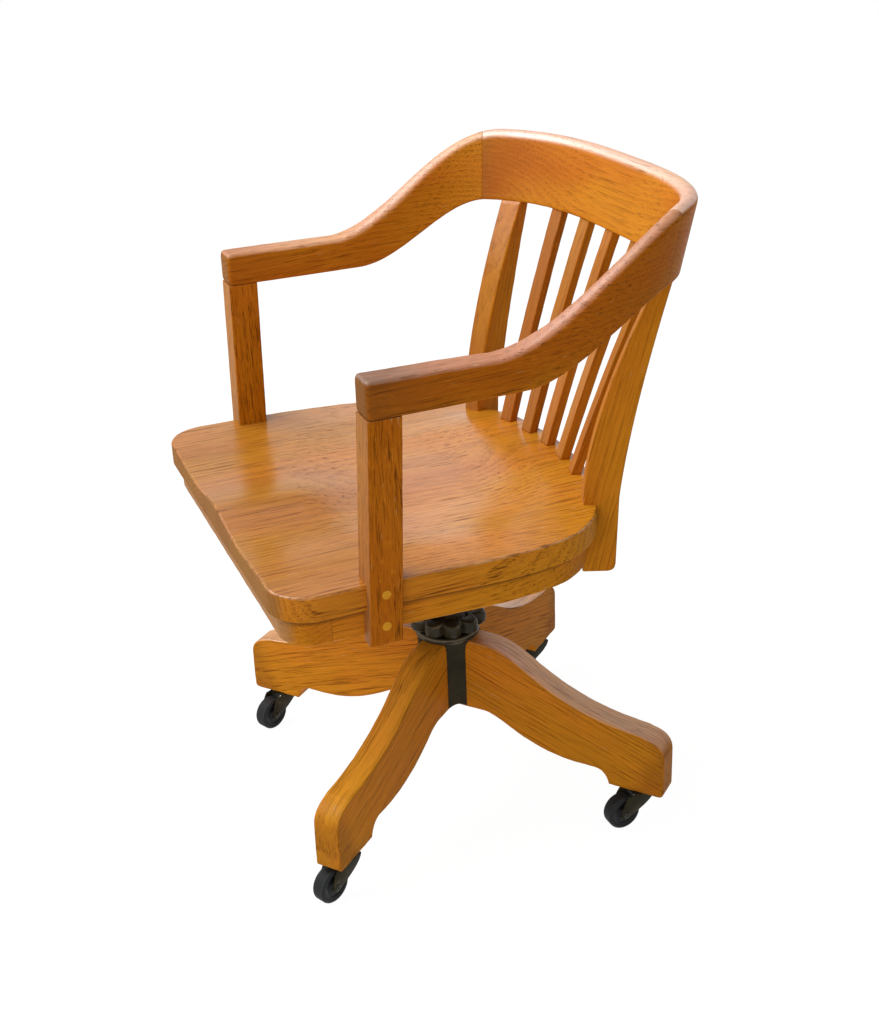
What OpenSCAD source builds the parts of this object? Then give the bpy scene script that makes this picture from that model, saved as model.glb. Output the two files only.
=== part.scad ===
// Swivel and tilt desk chair in oak, with a saddled seat, a bent bow of arms and
// crest, a splatted back and a four-legged base on casters.
// Millimetres, +Z up, the sitter faces -Y, and the origin is on the swivel axis at the floor.

/* [Seat board] */
// Height of the seat board's rim over the floor
seat_top = 484; // [470:1:495]
// Thickness of the seat board at its rim
seat_t = 32; // [28:1:36]
// Distance from the swivel axis to the seat's front edge
seat_front = 309; // [300:1:318]
// Half width of the seat at the front
seat_half_w = 276.5; // [272:0.5:281]
// Where the seat's sides start to curve in, in front of the swivel axis
seat_side_y = 85; // [70:1:100]
// Radius of the two front corners
seat_front_r = 50; // [40:1:60]
// Radius of the two rear corners
seat_rear_r = 138; // [132:1:144]
// Fall of the rim towards the rear corners
rear_fall = 10; // [0:0.5:12]
// Depth of the round scoop
scoop_depth = 13; // [6:0.5:15]
// Depth of the two thigh hollows at the front edge
thigh_depth = 6; // [3:0.5:9]
// Height of the ridge between the thighs
ridge_h = 4.5; // [2:0.5:6]

/* [Seat frame] */
// Height of the rails under the seat
rail_h = 36; // [30:1:42]
// Thickness of the rails
rail_t = 22; // [18:1:24]
// How far the rails stand back from the seat's edge
rail_setback = 11; // [8:1:12]
// Where the front rail ends on each side, in front of the swivel axis
rail_joint_y = 246; // [236:1:250]

/* [Arm posts] */
// Post width across the chair
post_w = 38; // [34:1:40]
// Post depth, front to back
post_d = 40; // [36:1:44]
// How far the post's outer face stands beyond the seat's edge, at the seat's rim
post_proud = 11.5; // [9:0.5:14]
// Front face of the post in front of the swivel axis, at the seat's rim
post_front = 206; // [198:1:212]
// Length of the post below the seat's rim
post_drop = 76; // [70:1:80]
// Outward splay of the posts, in degrees
post_splay = 2.2; // [1.5:0.1:2.8]
// Backward rake of the posts, in degrees
post_rake = 1.7; // [1:0.1:2.4]
// Radius of the round tenon at the top of a post
post_tenon_r = 9; // [7:0.5:12]
// Radius of the wooden plugs over the post screws
plug_r = 4.5; // [3.5:0.5:6]

/* [Arms and crest] */
// Underside of the arms over the floor, at the posts
arm_bottom = 686.5; // [670:0.5:700]
// Thickness of the arms from top to bottom at the posts
arm_h = 44; // [38:0.5:50]
// Width of the arms at the posts
arm_w = 38; // [34:1:42]
// Underside of the crest over the floor
crest_bottom = 767; // [755:1:780]
// Height of the crest rail
crest_h = 96; // [85:1:105]
// Thickness of the crest rail
crest_t = 21; // [19:1:26]
// Backward lean of the crest, as a slope
crest_lean = 0.207; // [0.15:0.005:0.25]
// Half width of the bow, at its middle line
bow_half_w = 278.5; // [276:0.5:281]
// Where the arms start to curve inwards, behind the swivel axis
bow_spring_y = 59; // [50:1:68]
// Back of the bow behind the swivel axis, at its middle line
bow_back_y = 268; // [264:1:272]
// Squareness of the bow's curve: 2 is an ellipse
bow_square = 2.9; // [2.6:0.05:3.2]

/* [Back] */
// Radius of the arc that the slats stand on
slat_arc_r = 465; // [440:5:490]
// Front of the middle slat behind the swivel axis, at the seat
slat_arc_y = 152.5; // [150:0.5:155]
// Width of a slat
slat_w = 21; // [18:0.5:24]
// Thickness of a slat
slat_t = 14; // [12:0.5:16]
// Angle between slats on their arc, in degrees
slat_step = 6.2; // [5.8:0.1:6.6]
// Bow of a slat out of the straight
slat_bow = 6; // [3:0.5:9]
// Turn of the stiles from the chair's middle line, in degrees
stile_turn = 23.5; // [22:0.5:25]
// Outer front corner of a stile from the middle line, at the seat
stile_out = 184.5; // [182:0.5:188]
// Outer front corner of a stile behind the swivel axis, at the seat
stile_y = 115.5; // [113:0.5:118]
// Thickness of a stile at the seat
stile_t_low = 26; // [24:0.5:30]
// Thickness of a stile at the crest
stile_t_high = 32; // [28:0.5:34]
// Depth of a stile at the seat, front to back
stile_d = 46; // [42:1:50]
// Length of the stile below the seat's rim
stile_drop = 104; // [98:1:110]

/* [Legs] */
// Thickness of the legs
leg_w = 36; // [33:1:38]
// Foot end of the legs from the swivel axis
leg_reach = 330; // [310:1:345]
// Height of the legs' flat top at the hub
leg_top = 228; // [215:1:235]
// Height of the legs' underside at the hub
leg_bottom = 121; // [112:1:128]
// Underside of the feet over the floor
foot_z = 56; // [54.5:0.5:62]
// Height of the foot's end face top
foot_top = 147; // [135:1:155]
// Turn of the base on its swivel as it stands, in degrees
base_turn = 39; // [30:1:50]

/* [Hub and hand wheel] */
// Radius of the hub's centre tube
hub_tube_r = 24; // [22:0.5:26]
// Radius of the round flange on top of the hub
flange_r = 45; // [42:1:52]
// Thickness of the flange
flange_t = 9; // [6:0.5:12]
// Radius of the screwed spindle
spindle_r = 13; // [10:0.5:14]
// Rise of the seat, from lowest to highest
lift = 80; // [50:5:85]
// Radius of the hand wheel at its lobes' tips
wheel_r = 55; // [50:1:60]
// Number of lobes on the hand wheel
lobes = 10; // [8:1:11]

/* [Tilt iron] */
// Height of the tilt pin over the floor
tilt_z = 404; // [398:1:408]
// Radius of the tilt pin
tilt_pin_r = 7; // [5:0.5:8]
// Tension bolt in front of the tilt pin
bolt_y = 88; // [80:1:96]
// Radius of the tension bolt
bolt_r = 5; // [4:0.5:6]
// Outer radius of the tension spring
spring_r = 21; // [18:0.5:24]
// Radius of the spring's wire
spring_wire_r = 2.5; // [2:0.25:3]
// Number of turns in the tension spring
spring_turns = 5; // [4:1:7]

/* [Casters] */
// Radius of a caster's wheel at the tread
caster_r = 24; // [22:0.5:24.5]
// Width of the tread
tread_w = 20; // [16:0.5:22]
// Distance from a caster's stem to its axle, on the flat
trail = 29; // [24:0.5:31]
// Caster stem from the swivel axis
stem_reach = 291; // [286:1:298]
// Radius of a caster's stem
stem_r = 5; // [4:0.5:6]
// Radius of a caster's axle
axle_r = 3; // [2.5:0.25:4]

/* [Hidden] */
$fn = 48;

// Clearances and colours
fit = 0.06;         // running fit, on the radius
slip = 0.15;        // glued or pushed joints between wooden pieces
gap = 0.3;          // bodies that pass each other
reach_over = 1;     // how far a cutter runs past what it cuts
oak = [0.76, 0.48, 0.20];
oak_dark = [0.66, 0.38, 0.14];
iron = [0.10, 0.11, 0.10];
steel = [0.30, 0.28, 0.25];
rubber = [0.07, 0.08, 0.08];

// Curves
function smooth(t) = let (u = max(0, min(1, t))) u * u * (3 - 2 * u);
function mix(a, b, t) = a + (b - a) * t;
function bezier2(a, b, c, n) =
    [for (i = [0:n]) let (t = i / n) (1 - t) * (1 - t) * a + 2 * t * (1 - t) * b + t * t * c];
function bezier3(a, b, c, d, n) =
    [for (i = [0:n]) let (t = i / n, s = 1 - t) s * s * s * a + 3 * s * s * t * b + 3 * s * t * t * c + t * t * t * d];
function arc(c, r, a0, a1, n) = [for (i = [0:n]) let (a = mix(a0, a1, i / n)) c + r * [cos(a), sin(a)]];
function flip(points) = [for (i = [len(points) - 1:-1:0]) [-points[i][0], points[i][1]]];

// Seat outline, drawn in by an inset: front corner, rear corner, then the arc behind the slats
slat_centre_y = slat_arc_y - slat_arc_r;
rear_margin = 24;
rear_r = slat_arc_r + rear_margin;
side_r = 565;
side_turn = 12.8;
rear_turn = 61.6;
rear_corner = [seat_half_w - side_r, -seat_side_y] + (side_r - seat_rear_r) * [cos(side_turn), sin(side_turn)];
rear_arc_angle = 17.9;
function line(a, b, n) = [for (i = [1:n - 1]) mix(a, b, i / n)];
function half_outline(inset) = concat(
    line([0, inset - seat_front], [seat_half_w - seat_front_r, inset - seat_front], 9),
    arc([seat_half_w - seat_front_r, seat_front_r - seat_front], seat_front_r - inset, -90, 0, 10),
    line([seat_half_w - inset, seat_front_r - seat_front], [seat_half_w - inset, -seat_side_y], 6),
    arc([seat_half_w - side_r, -seat_side_y], side_r - inset, 0, side_turn, 5),
    arc(rear_corner, seat_rear_r - inset, side_turn + 5, rear_turn, 10),
    arc([0, slat_centre_y], rear_r - inset, 90 - rear_arc_angle, 89, 7));
function seat_outline(inset) = concat([[0, inset - seat_front]], half_outline(inset), flip(half_outline(inset)));

// Saddle of the seat: height of the top surface under or over the rim
ridge_half_w = 45;
thigh_x = 115;
thigh_half_w = 70;
scoop_y = -38;
scoop_half = [222, 170];
scoop_square = 2.6;
function frontness(y) = 1 - smooth((y + 260) / 230);
function edge_fall(y) = rear_fall * smooth((y + 200) / 320);
function rim_fall(x, y) = edge_fall(y) * mix(1 / 3, 1, smooth((abs(x) - 112) / 70));
function saddle(x, y) = let (
    thigh = thigh_depth * exp(-pow((abs(x) - thigh_x) / thigh_half_w, 2)) * frontness(y),
    ridge = ridge_h * exp(-pow(x / ridge_half_w, 2)) * frontness(y),
    e = scoop_square,
    q = pow(pow(abs(x) / scoop_half[0], e) + pow(abs(y - scoop_y) / scoop_half[1], e), 1 / e),
    scoop = scoop_depth * (1 - smooth((q - 0.35) / 0.65)))
    ridge - thigh - scoop - rim_fall(x, y);
seat_rings = [1, 0.94, 0.86, 0.77, 0.67, 0.56, 0.44, 0.3, 0.14];

// The bow of arms and crest: middle line in plan, then heights and lean by the run along it
bow_straight = 8;
bow_curve = 22;
post_out = seat_half_w + post_proud;
bow_front_y = post_rise_y(arm_bottom) - post_front;
function post_rise_y(z) = (z - seat_top) * tan(post_rake);
function post_rise_x(z) = (z - seat_top) * tan(post_splay);
arm_front_x = post_out + post_rise_x(arm_bottom) - arm_w / 2;
function bow_point(i) = i < bow_straight
    ? let (t = i / bow_straight) [mix(arm_front_x, bow_half_w, t), mix(bow_front_y, bow_spring_y, t)]
    : let (a = 90 * (i - bow_straight) / bow_curve, e = 2 / bow_square)
        [bow_half_w * pow(max(0, cos(a)), e), bow_spring_y + (bow_back_y - bow_spring_y) * pow(sin(a), e)];
bow_last = bow_straight + bow_curve;
bow = [for (i = [0:bow_last]) bow_point(i)];
bow_run = [for (i = 0, s = 0; i <= bow_last; s = s + (i < bow_last ? norm(bow[i + 1] - bow[i]) : 0), i = i + 1) s];
arm_seam = bow_straight + 7;
rise_top = [150, 415];
rise_bottom = [190, 395];
lean_run = [0, 430];
thin_run = [60, 400];
arm_edge_r = 6;
crest_edge_r = 11;
under_edge_r = 3;
function bow_out(i) = i == bow_last ? [0, 1]
    : let (d = bow[min(bow_last, i + 1)] - bow[max(0, i - 1)]) [d[1], -d[0]] / norm(d);
function bow_top(s) = mix(arm_bottom + arm_h, crest_bottom + crest_h, smooth((s - rise_top[0]) / (rise_top[1] - rise_top[0])));
function bow_under(s) = mix(arm_bottom, crest_bottom, smooth((s - rise_bottom[0]) / (rise_bottom[1] - rise_bottom[0])));
function bow_lean(s) = crest_lean * smooth((s - lean_run[0]) / (lean_run[1] - lean_run[0]));
function bow_thick(s) = mix(arm_w, crest_t, smooth((s - thin_run[0]) / (thin_run[1] - thin_run[0])));
function bow_edge(s) = mix(arm_edge_r, crest_edge_r, smooth((s - thin_run[0]) / (thin_run[1] - thin_run[0])));
function corner_arc(x, z, r, a0) = [for (k = [0:3]) [x + r * cos(a0 + 30 * k), z + r * sin(a0 + 30 * k)]];
function section(w, h, r_top, r_low) = concat(
    corner_arc(w / 2 - r_low, r_low - h / 2, r_low, -90),
    corner_arc(w / 2 - r_top, h / 2 - r_top, r_top, 0),
    corner_arc(r_top - w / 2, h / 2 - r_top, r_top, 90),
    corner_arc(r_low - w / 2, r_low - h / 2, r_low, 180));
function bow_ring(i, side) = let (
    s = bow_run[i], top = bow_top(s), low = bow_under(s), out = bow_out(i), c = bow[i],
    flat = section(bow_thick(s), top - low, bow_edge(s), under_edge_r))
    [for (p = flat) let (q = c + out * (p[0] + bow_lean(s) * p[1])) [side * q[0], q[1], (top + low) / 2 + p[1]]];
function turned(ring) = [for (j = [len(ring) - 1:-1:0]) ring[j]];

// Slats and stiles
function slat_foot(k) = [slat_arc_r * sin(k * slat_step), slat_centre_y + slat_arc_r * cos(k * slat_step)];
slat_spread = 1.32;
slat_in = 3;
function bow_inner_at(x) = let (
    hits = [for (i = [bow_straight:bow_last - 1])
        let (a = crest_inner(i), b = crest_inner(i + 1)) if (a[0] >= x && b[0] < x) mix(a[1], b[1], (a[0] - x) / (a[0] - b[0]))])
    len(hits) > 0 ? hits[0] : bow_back_y;
function crest_inner(i) = let (s = bow_run[i], h = bow_top(s) - bow_under(s))
    bow[i] - bow_out(i) * (bow_thick(s) / 2 + bow_lean(s) * h / 2);
function slat_head(k) = let (x = abs(slat_foot(k)[0]) * slat_spread)
    [sign(k) * x, bow_inner_at(x) + slat_in];
slat_tenon = [13, 8, 12];
slat_sink = 5;
stile_rise = crest_bottom - seat_top;
stile_run = 88;
stile_run_inside = 94;
stile_depth_high = 18;
stile_lay = [sin(stile_turn), cos(stile_turn)];
stile_side = [-cos(stile_turn), sin(stile_turn)];
stile_corner = [stile_out, stile_y];
stile_steps = [for (i = [0:10]) i / 10];
function stile_fore(t) = 2 * t * (1 - t) * 4 + t * t * stile_run;
function stile_aft(t) = pow(1 - t, 2) * stile_d + 2 * t * (1 - t) * (stile_d + 12) + t * t * (stile_run + stile_depth_high);
function stile_thick(t) = mix(stile_t_low, stile_t_high, t);
function stile_point(r, w, z) = let (q = stile_corner + r * stile_lay + w * stile_side) [q[0], q[1], z];
function stile_ring(fore, aft, w, skew, z) =
    [stile_point(fore, 0, z), stile_point(aft, 0, z), stile_point(aft + skew, w, z), stile_point(fore + skew, w, z)];
stile_foot_z = seat_top - stile_drop;
stile_rings = concat(
    [for (a = [0:30:90]) stile_ring(0, stile_d - 4 - 8 * (1 - sin(a)), stile_t_low, 0, stile_foot_z + 8 * (1 - cos(a)))],
    [for (t = stile_steps) let (u = 2 * t * (1 - t) * 0.38 + t * t)
        stile_ring(stile_fore(t), stile_aft(t), stile_thick(t), (stile_run_inside - stile_run) * t, seat_top + u * stile_rise)]);
stile_dowel_r = 4;
stile_dowel_l = 14;
stile_dowel_at = stile_corner + (stile_run + stile_depth_high / 2 + 6) * stile_lay + stile_t_high / 2 * stile_side;

// Leg profile, away from the swivel axis and up
leg_in = hub_tube_r + 0.5;
leg_shoulder = 62;
sole_inner = leg_reach - 78;
leg_profile = concat(
    bezier3([leg_shoulder, leg_top], [128, leg_top - 2], [145, foot_top + 11], [leg_reach - 32, foot_top - 1], 18),
    bezier3([leg_reach - 30, foot_top - 2], [leg_reach - 9, foot_top - 6], [leg_reach, foot_top - 14], [leg_reach, foot_top - 32], 7),
    arc([leg_reach - 6, foot_z + 6], 6, 0, -90, 4),
    bezier2([sole_inner, foot_z], [sole_inner - 5, foot_z + 21], [sole_inner - 22, foot_z + 21], 8),
    bezier3([sole_inner - 47, foot_z + 21], [120, foot_z + 24], [95, leg_bottom], [leg_shoulder, leg_bottom], 14),
    [[leg_in, leg_bottom], [leg_in, leg_top]]);
legs = [
    ["front_left", -90], ["rear_left", 0], ["rear_right", 90], ["front_right", 180]
];
function leg_angle(turn) = base_turn + turn;

// Hub and hand wheel heights, from the legs up
web_reach = 38;
web_low = 1;
web_arch = 6;
flange_z = leg_top;
washer_z = flange_z + flange_t + gap;
washer_t = 3;
washer_r = 27;
boss_z = washer_z + washer_t + gap;
boss_r = 21;
boss_h = 36;
star_z = boss_z + 1;
star_t = 20;
lobe_r = 9.5;
star_root_r = 42;
valley_r = 7;
lobe_turn = -12;
wheel_bore_r = spindle_r + fit;
leg_screw_reach = 35;
leg_screw_r = 3;
leg_screw_head_r = 5.5;
leg_screw_l = 60;
leg_screw_sink = 0.4;
spindle_kept = 30;
spindle_low = flange_z + flange_t - lift - spindle_kept;

// Tilt iron: heights down from the seat board's underside
board_low = seat_top - seat_t;
iron_t = 6;
cheek_in = 24;
cheek_t = 7;
ear_out = cheek_in - gap;
ear_t = 8;
cheek_r = 17;
yoke_hub_r = 23;
yoke_hub_z = boss_z + boss_h + 6;
yoke_hub_h = 44;
spindle_high = yoke_hub_z + yoke_hub_h - 4;
nose_z = yoke_hub_z + yoke_hub_h + 20;
nose_t = 10;
nose_r = 24;
nose_slot_r = bolt_r + 2;
nose_slot_run = 14;
spring_l = 56;
nut_h = 10;
nut_r = 11;
cup_t = 3;
iron_arm_l = 150;
iron_arm_w = 30;
iron_screw_at = 132;
iron_screw_r = 2.5;

// Casters
axle_z = caster_r;
fork_in = tread_w / 2 + 1.2;
fork_t = 2.4;
crown_t = 2.4;
crown_z = 2 * caster_r + 1.5;
socket_t = 1.6;
socket_r = 13;
stem_l = 30;
caster_turns = [["front_left", -64], ["front_right", -64], ["rear_left", -88], ["rear_right", -78]];
function leg_turn_of(name) = [for (l = legs) if (l[0] == name) l[1]][0];
function caster_turn_of(name) = [for (c = caster_turns) if (c[0] == name) c[1]][0];
function stem_at(name) = let (a = leg_angle(leg_turn_of(name))) stem_reach * [cos(a), sin(a)];

// A closed skin through rings of points
module loft(rings) {
    n = len(rings[0]);
    m = len(rings);
    points = [for (ring = rings, p = ring) p];
    walls = [for (i = [0:m - 2], j = [0:n - 1]) let (a = i * n + j, b = i * n + (j + 1) % n)
        each [[a, b, b + n], [a, b + n, a + n]]];
    caps = [[for (j = [n - 1:-1:0]) j], [for (j = [0:n - 1]) (m - 1) * n + j]];
    polyhedron(points, concat(walls, caps));
}

module pillar(r, h) { cylinder(r = r, h = h); }

// Place a child at a leg or at a caster's stem
module on_leg(turn) { rotate([0, 0, leg_angle(turn)]) children(); }
module at_stem(name) { p = stem_at(name); translate([p[0], p[1], 0]) rotate([0, 0, caster_turn_of(name)]) children(); }
module both_sides() { children(); mirror([1, 0, 0]) children(); }

// Base

module hub_casting() {
    side = leg_w / 2 + slip;
    root = leg_in - gap;
    web = [[14, 14], [root, 14], [root, side], [web_reach, side], [side, web_reach], [side, root], [14, root]];
    web_face = (web_reach + leg_w / 2 + slip) / sqrt(2);
    chord = (web_reach - leg_w / 2) * sqrt(2);
    arch_r = (chord * chord / 4 + web_arch * web_arch) / (2 * web_arch);
    color(iron) difference() {
        union() {
            translate([0, 0, leg_bottom]) pillar(hub_tube_r, flange_z + flange_t - leg_bottom);
            for (k = [0:3]) rotate([0, 0, base_turn + 90 * k])
                translate([0, 0, leg_bottom + web_low]) linear_extrude(flange_z - leg_bottom) polygon(web);
            translate([0, 0, flange_z]) rotate_extrude()
                polygon([[0, 0], [flange_r, 0], [flange_r, flange_t - 3], [flange_r - 3, flange_t], [0, flange_t]]);
        }
        translate([0, 0, leg_bottom - reach_over]) pillar(spindle_r + fit, flange_z + flange_t - leg_bottom + 2 * reach_over);
        for (k = [0:3]) rotate([0, 0, base_turn + 90 * k + 45])
            translate([hub_tube_r + 1, 0, leg_bottom + web_arch - arch_r])
                rotate([0, 90, 0]) pillar(arch_r, web_face);
        for (l = legs) on_leg(l[1]) translate([leg_screw_reach, 0, flange_z]) leg_screw_shape(slip);
    }
}

module leg_screw_shape(grow) {
    top = flange_t - leg_screw_sink;
    translate([0, 0, top - leg_screw_l]) pillar(leg_screw_r + grow, leg_screw_l);
    translate([0, 0, top - 3]) cylinder(r1 = leg_screw_r + grow, r2 = leg_screw_head_r + grow, h = 3);
    if (grow > 0) translate([0, 0, top]) pillar(leg_screw_head_r + grow, leg_screw_sink + reach_over);
}

module leg(name) {
    turn = leg_turn_of(name);
    color(oak) difference() {
        on_leg(turn) translate([0, leg_w / 2, 0]) rotate([90, 0, 0]) linear_extrude(leg_w) polygon(leg_profile);
        on_leg(turn) translate([stem_reach, 0, foot_z - reach_over]) {
            pillar(socket_bore_r(), stem_l + 2 + reach_over);
            pillar(socket_r + slip, socket_t + reach_over);
        }
        on_leg(turn) translate([leg_screw_reach, 0, flange_z]) leg_screw_shape(slip);
    }
}
function socket_bore_r() = stem_r + 2.5;

module leg_screws() {
    color(steel) for (l = legs) on_leg(l[1]) translate([leg_screw_reach, 0, flange_z]) leg_screw_shape(0);
}

module caster_sockets() {
    color(steel) for (l = legs) on_leg(l[1]) translate([stem_reach, 0, foot_z]) difference() {
        union() {
            pillar(socket_r, socket_t);
            pillar(socket_bore_r() - slip, stem_l + 1);
        }
        translate([0, 0, -reach_over]) pillar(stem_r + fit, stem_l - 1 + reach_over);
    }
}

// Caster fork in its own frame: the stem on the Z axis and the axle along Y, at x = trail
module caster_fork(name) {
    half = fork_in + fork_t;
    color(steel) at_stem(name) difference() {
        union() {
            translate([0, 0, crown_z]) pillar(stem_r, foot_z + stem_l - 6 - crown_z);
            translate([0, 0, crown_z]) pillar(11, foot_z - gap - crown_z);
            translate([0, 0, crown_z]) pillar(15.5, crown_t);
            translate([-16, -half, crown_z]) cube([31, 2 * half, crown_t]);
            for (s = [0, 1]) mirror([0, s, 0]) translate([0, half, 0]) rotate([90, 0, 0])
                linear_extrude(fork_t) fork_plate();
        }
        translate([trail, half + reach_over, axle_z]) rotate([90, 0, 0]) pillar(axle_r, 2 * (half + reach_over));
    }
}
module fork_plate() {
    top = crown_z + crown_t;
    polygon(concat([[15, top], [-16, top], [-16, top - 5]],
        bezier2([-10, top - 10], [6, axle_z + 4], [trail - 5, axle_z - 5], 5),
        arc([trail, axle_z], 7, -110, 20, 7)));
}

module caster_axle(name) {
    half = fork_in + fork_t;
    color(steel) at_stem(name) translate([trail, 0, axle_z]) rotate([90, 0, 0]) {
        translate([0, 0, -half]) pillar(axle_r, 2 * half);
        for (s = [0, 1]) mirror([0, 0, s]) translate([0, 0, half])
            cylinder(r1 = axle_r + 1.6, r2 = axle_r, h = 1.6);
    }
}

module caster_wheel(name) {
    w = tread_w / 2;
    color(rubber) at_stem(name) translate([trail, 0, axle_z]) rotate([90, 0, 0]) rotate_extrude() polygon(concat(
        [[axle_r + fit, -w - 0.8], [7, -w - 0.8], [8, -w + 1.5], [13, -w + 2.5], [16, -w + 0.6], [18, -w]],
        arc([caster_r - 4, 4 - w], 4, -90, 0, 4),
        arc([caster_r - 4, w - 4], 4, 0, 90, 4),
        [[18, w], [16, w - 0.6], [13, w - 2.5], [8, w - 1.5], [7, w + 0.8], [axle_r + fit, w + 0.8]]));
}

// Swivel, screw and hand wheel

module thrust_washer() {
    color(steel) translate([0, 0, washer_z]) difference() {
        pillar(washer_r, washer_t);
        translate([0, 0, -reach_over]) pillar(spindle_r + fit, washer_t + 2 * reach_over);
    }
}

module hand_wheel() {
    color(iron) difference() {
        union() {
            translate([0, 0, boss_z]) pillar(boss_r, boss_h);
            translate([0, 0, star_z]) pillar(star_root_r, star_t);
            for (k = [0:lobes - 1]) rotate([0, 0, lobe_turn + 360 * k / lobes]) {
                translate([wheel_r - lobe_r, 0, star_z]) pillar(lobe_r, star_t);
                translate([0, -lobe_r + 2, star_z + 1]) cube([wheel_r - lobe_r, 2 * lobe_r - 4, star_t - 2]);
            }
        }
        translate([0, 0, boss_z - reach_over]) pillar(wheel_bore_r, boss_h + 2 * reach_over);
        for (k = [0:lobes - 1]) rotate([0, 0, lobe_turn + 360 * (k + 0.5) / lobes])
            translate([star_root_r + valley_r, 0, star_z - reach_over]) pillar(valley_r, star_t + 2 * reach_over);
        translate([0, 0, star_z + star_t - 4]) difference() {
            pillar(star_root_r - 8, 4 + reach_over);
            translate([0, 0, -reach_over]) pillar(boss_r + 4, 4 + 3 * reach_over);
        }
    }
}

module spindle() {
    color(steel) translate([0, 0, spindle_low]) {
        pillar(spindle_r, spindle_high - spindle_low - 2);
        translate([0, 0, spindle_high - spindle_low - 2]) cylinder(r1 = spindle_r, r2 = spindle_r - 2, h = 2);
    }
}

module tilt_yoke() {
    ear_z = yoke_hub_z + yoke_hub_h - 14;
    stop_z = board_low - iron_t - gap;
    color(iron) difference() {
        union() {
            translate([0, 0, yoke_hub_z]) pillar(yoke_hub_r, yoke_hub_h);
            translate([-ear_out, -22, ear_z]) cube([2 * ear_out, 44, 14]);
            for (x = [-ear_out, ear_out - ear_t]) translate([x, 0, 0]) rotate([90, 0, 90])
                linear_extrude(ear_t) ear_plate(ear_z);
            translate([1 - ear_out, -22, ear_z + 1]) cube([2 * ear_out - 2, 8, stop_z - ear_z - 1]);
            translate([-nose_r / 2, -bolt_y, nose_z]) cube([nose_r, bolt_y - 18, nose_t]);
            translate([0, -bolt_y - nose_slot_run / 2, nose_z]) pillar(nose_r, nose_t);
            translate([-4, -bolt_y + 18, nose_z + 1]) cube([8, bolt_y - 36, 24]);
        }
        translate([0, 0, yoke_hub_z - reach_over]) pillar(spindle_r, spindle_high - yoke_hub_z + reach_over);
        translate([-ear_out - reach_over, 0, tilt_z]) rotate([0, 90, 0]) pillar(tilt_pin_r + fit, 2 * (ear_out + reach_over));
        translate([0, -bolt_y, nose_z - reach_over]) pillar(nose_slot_r, nose_t + 30);
        translate([0, -bolt_y - nose_slot_run, nose_z - reach_over]) pillar(nose_slot_r, nose_t + 30);
        translate([-nose_slot_r, -bolt_y - nose_slot_run, nose_z - reach_over])
            cube([2 * nose_slot_r, nose_slot_run, nose_t + 2 * reach_over]);
    }
}
module ear_plate(ear_z) {
    polygon(concat([[-22, ear_z], [22, ear_z]], arc([0, tilt_z], cheek_r - 2, 10, 170, 14)));
}

module tilt_pin() {
    half = cheek_in + cheek_t;
    color(steel) translate([-half, 0, tilt_z]) rotate([0, 90, 0]) {
        pillar(tilt_pin_r, 2 * half);
        translate([0, 0, -3]) cylinder(r1 = tilt_pin_r + 1, r2 = tilt_pin_r + 3, h = 3);
        translate([0, 0, 2 * half]) cylinder(r1 = tilt_pin_r + 3, r2 = tilt_pin_r + 1, h = 3);
    }
}

module seat_iron() {
    plate_z = board_low - iron_t;
    color(iron) difference() {
        union() {
            for (a = [45, 135]) rotate([0, 0, a]) translate([-iron_arm_l, -iron_arm_w / 2, plate_z])
                linear_extrude(iron_t) polygon(concat(
                    arc([iron_arm_w / 2, iron_arm_w / 2], iron_arm_w / 2, 270, 90, 10),
                    arc([2 * iron_arm_l - iron_arm_w / 2, iron_arm_w / 2], iron_arm_w / 2, 90, -90, 10)));
            translate([-44, -bolt_y - 18, plate_z]) cube([88, bolt_y + 58, iron_t]);
            for (s = [-1, 1]) translate([s > 0 ? cheek_in : -cheek_in - cheek_t, 0, 0]) rotate([90, 0, 90])
                linear_extrude(cheek_t) polygon(concat([[34, plate_z + 1], [-34, plate_z + 1]],
                    arc([0, tilt_z], cheek_r, 190, 350, 14)));
        }
        translate([-cheek_in - cheek_t - reach_over, 0, tilt_z]) rotate([0, 90, 0])
            pillar(tilt_pin_r, 2 * (cheek_in + cheek_t + reach_over));
        translate([0, -bolt_y, plate_z - reach_over]) pillar(bolt_r, iron_t + 2 * reach_over);
        for (a = [45:90:315]) rotate([0, 0, a]) translate([iron_screw_at, 0, plate_z - reach_over]) pillar(iron_screw_r + slip, iron_t + 2 * reach_over);
    }
}
module seat_iron_screws() {
    plate_z = board_low - iron_t;
    color(steel) for (a = [45:90:315]) rotate([0, 0, a]) translate([iron_screw_at, 0, plate_z]) {
        pillar(iron_screw_r, 20);
        translate([0, 0, -3.5]) cylinder(r1 = 3.5, r2 = 6, h = 3.5);
    }
}

module tension_bolt() {
    top = board_low - iron_t + 1;
    low = nose_z - spring_l - cup_t - nut_h - 6;
    color(steel) translate([0, -bolt_y, low]) {
        pillar(bolt_r, top + 4 - low);
        translate([0, 0, top - 1 - low - 6]) pillar(bolt_r + 3, 6);
    }
}

module tension_nut() {
    cup_z = nose_z - spring_l - cup_t;
    color(steel) translate([0, -bolt_y, 0]) difference() {
        union() {
            translate([0, 0, cup_z]) pillar(spring_r, cup_t);
            translate([0, 0, cup_z - nut_h]) cylinder(r = nut_r, h = nut_h, $fn = 6);
        }
        translate([0, 0, cup_z - nut_h - reach_over]) pillar(bolt_r, nut_h + cup_t + 2 * reach_over);
    }
}

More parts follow.
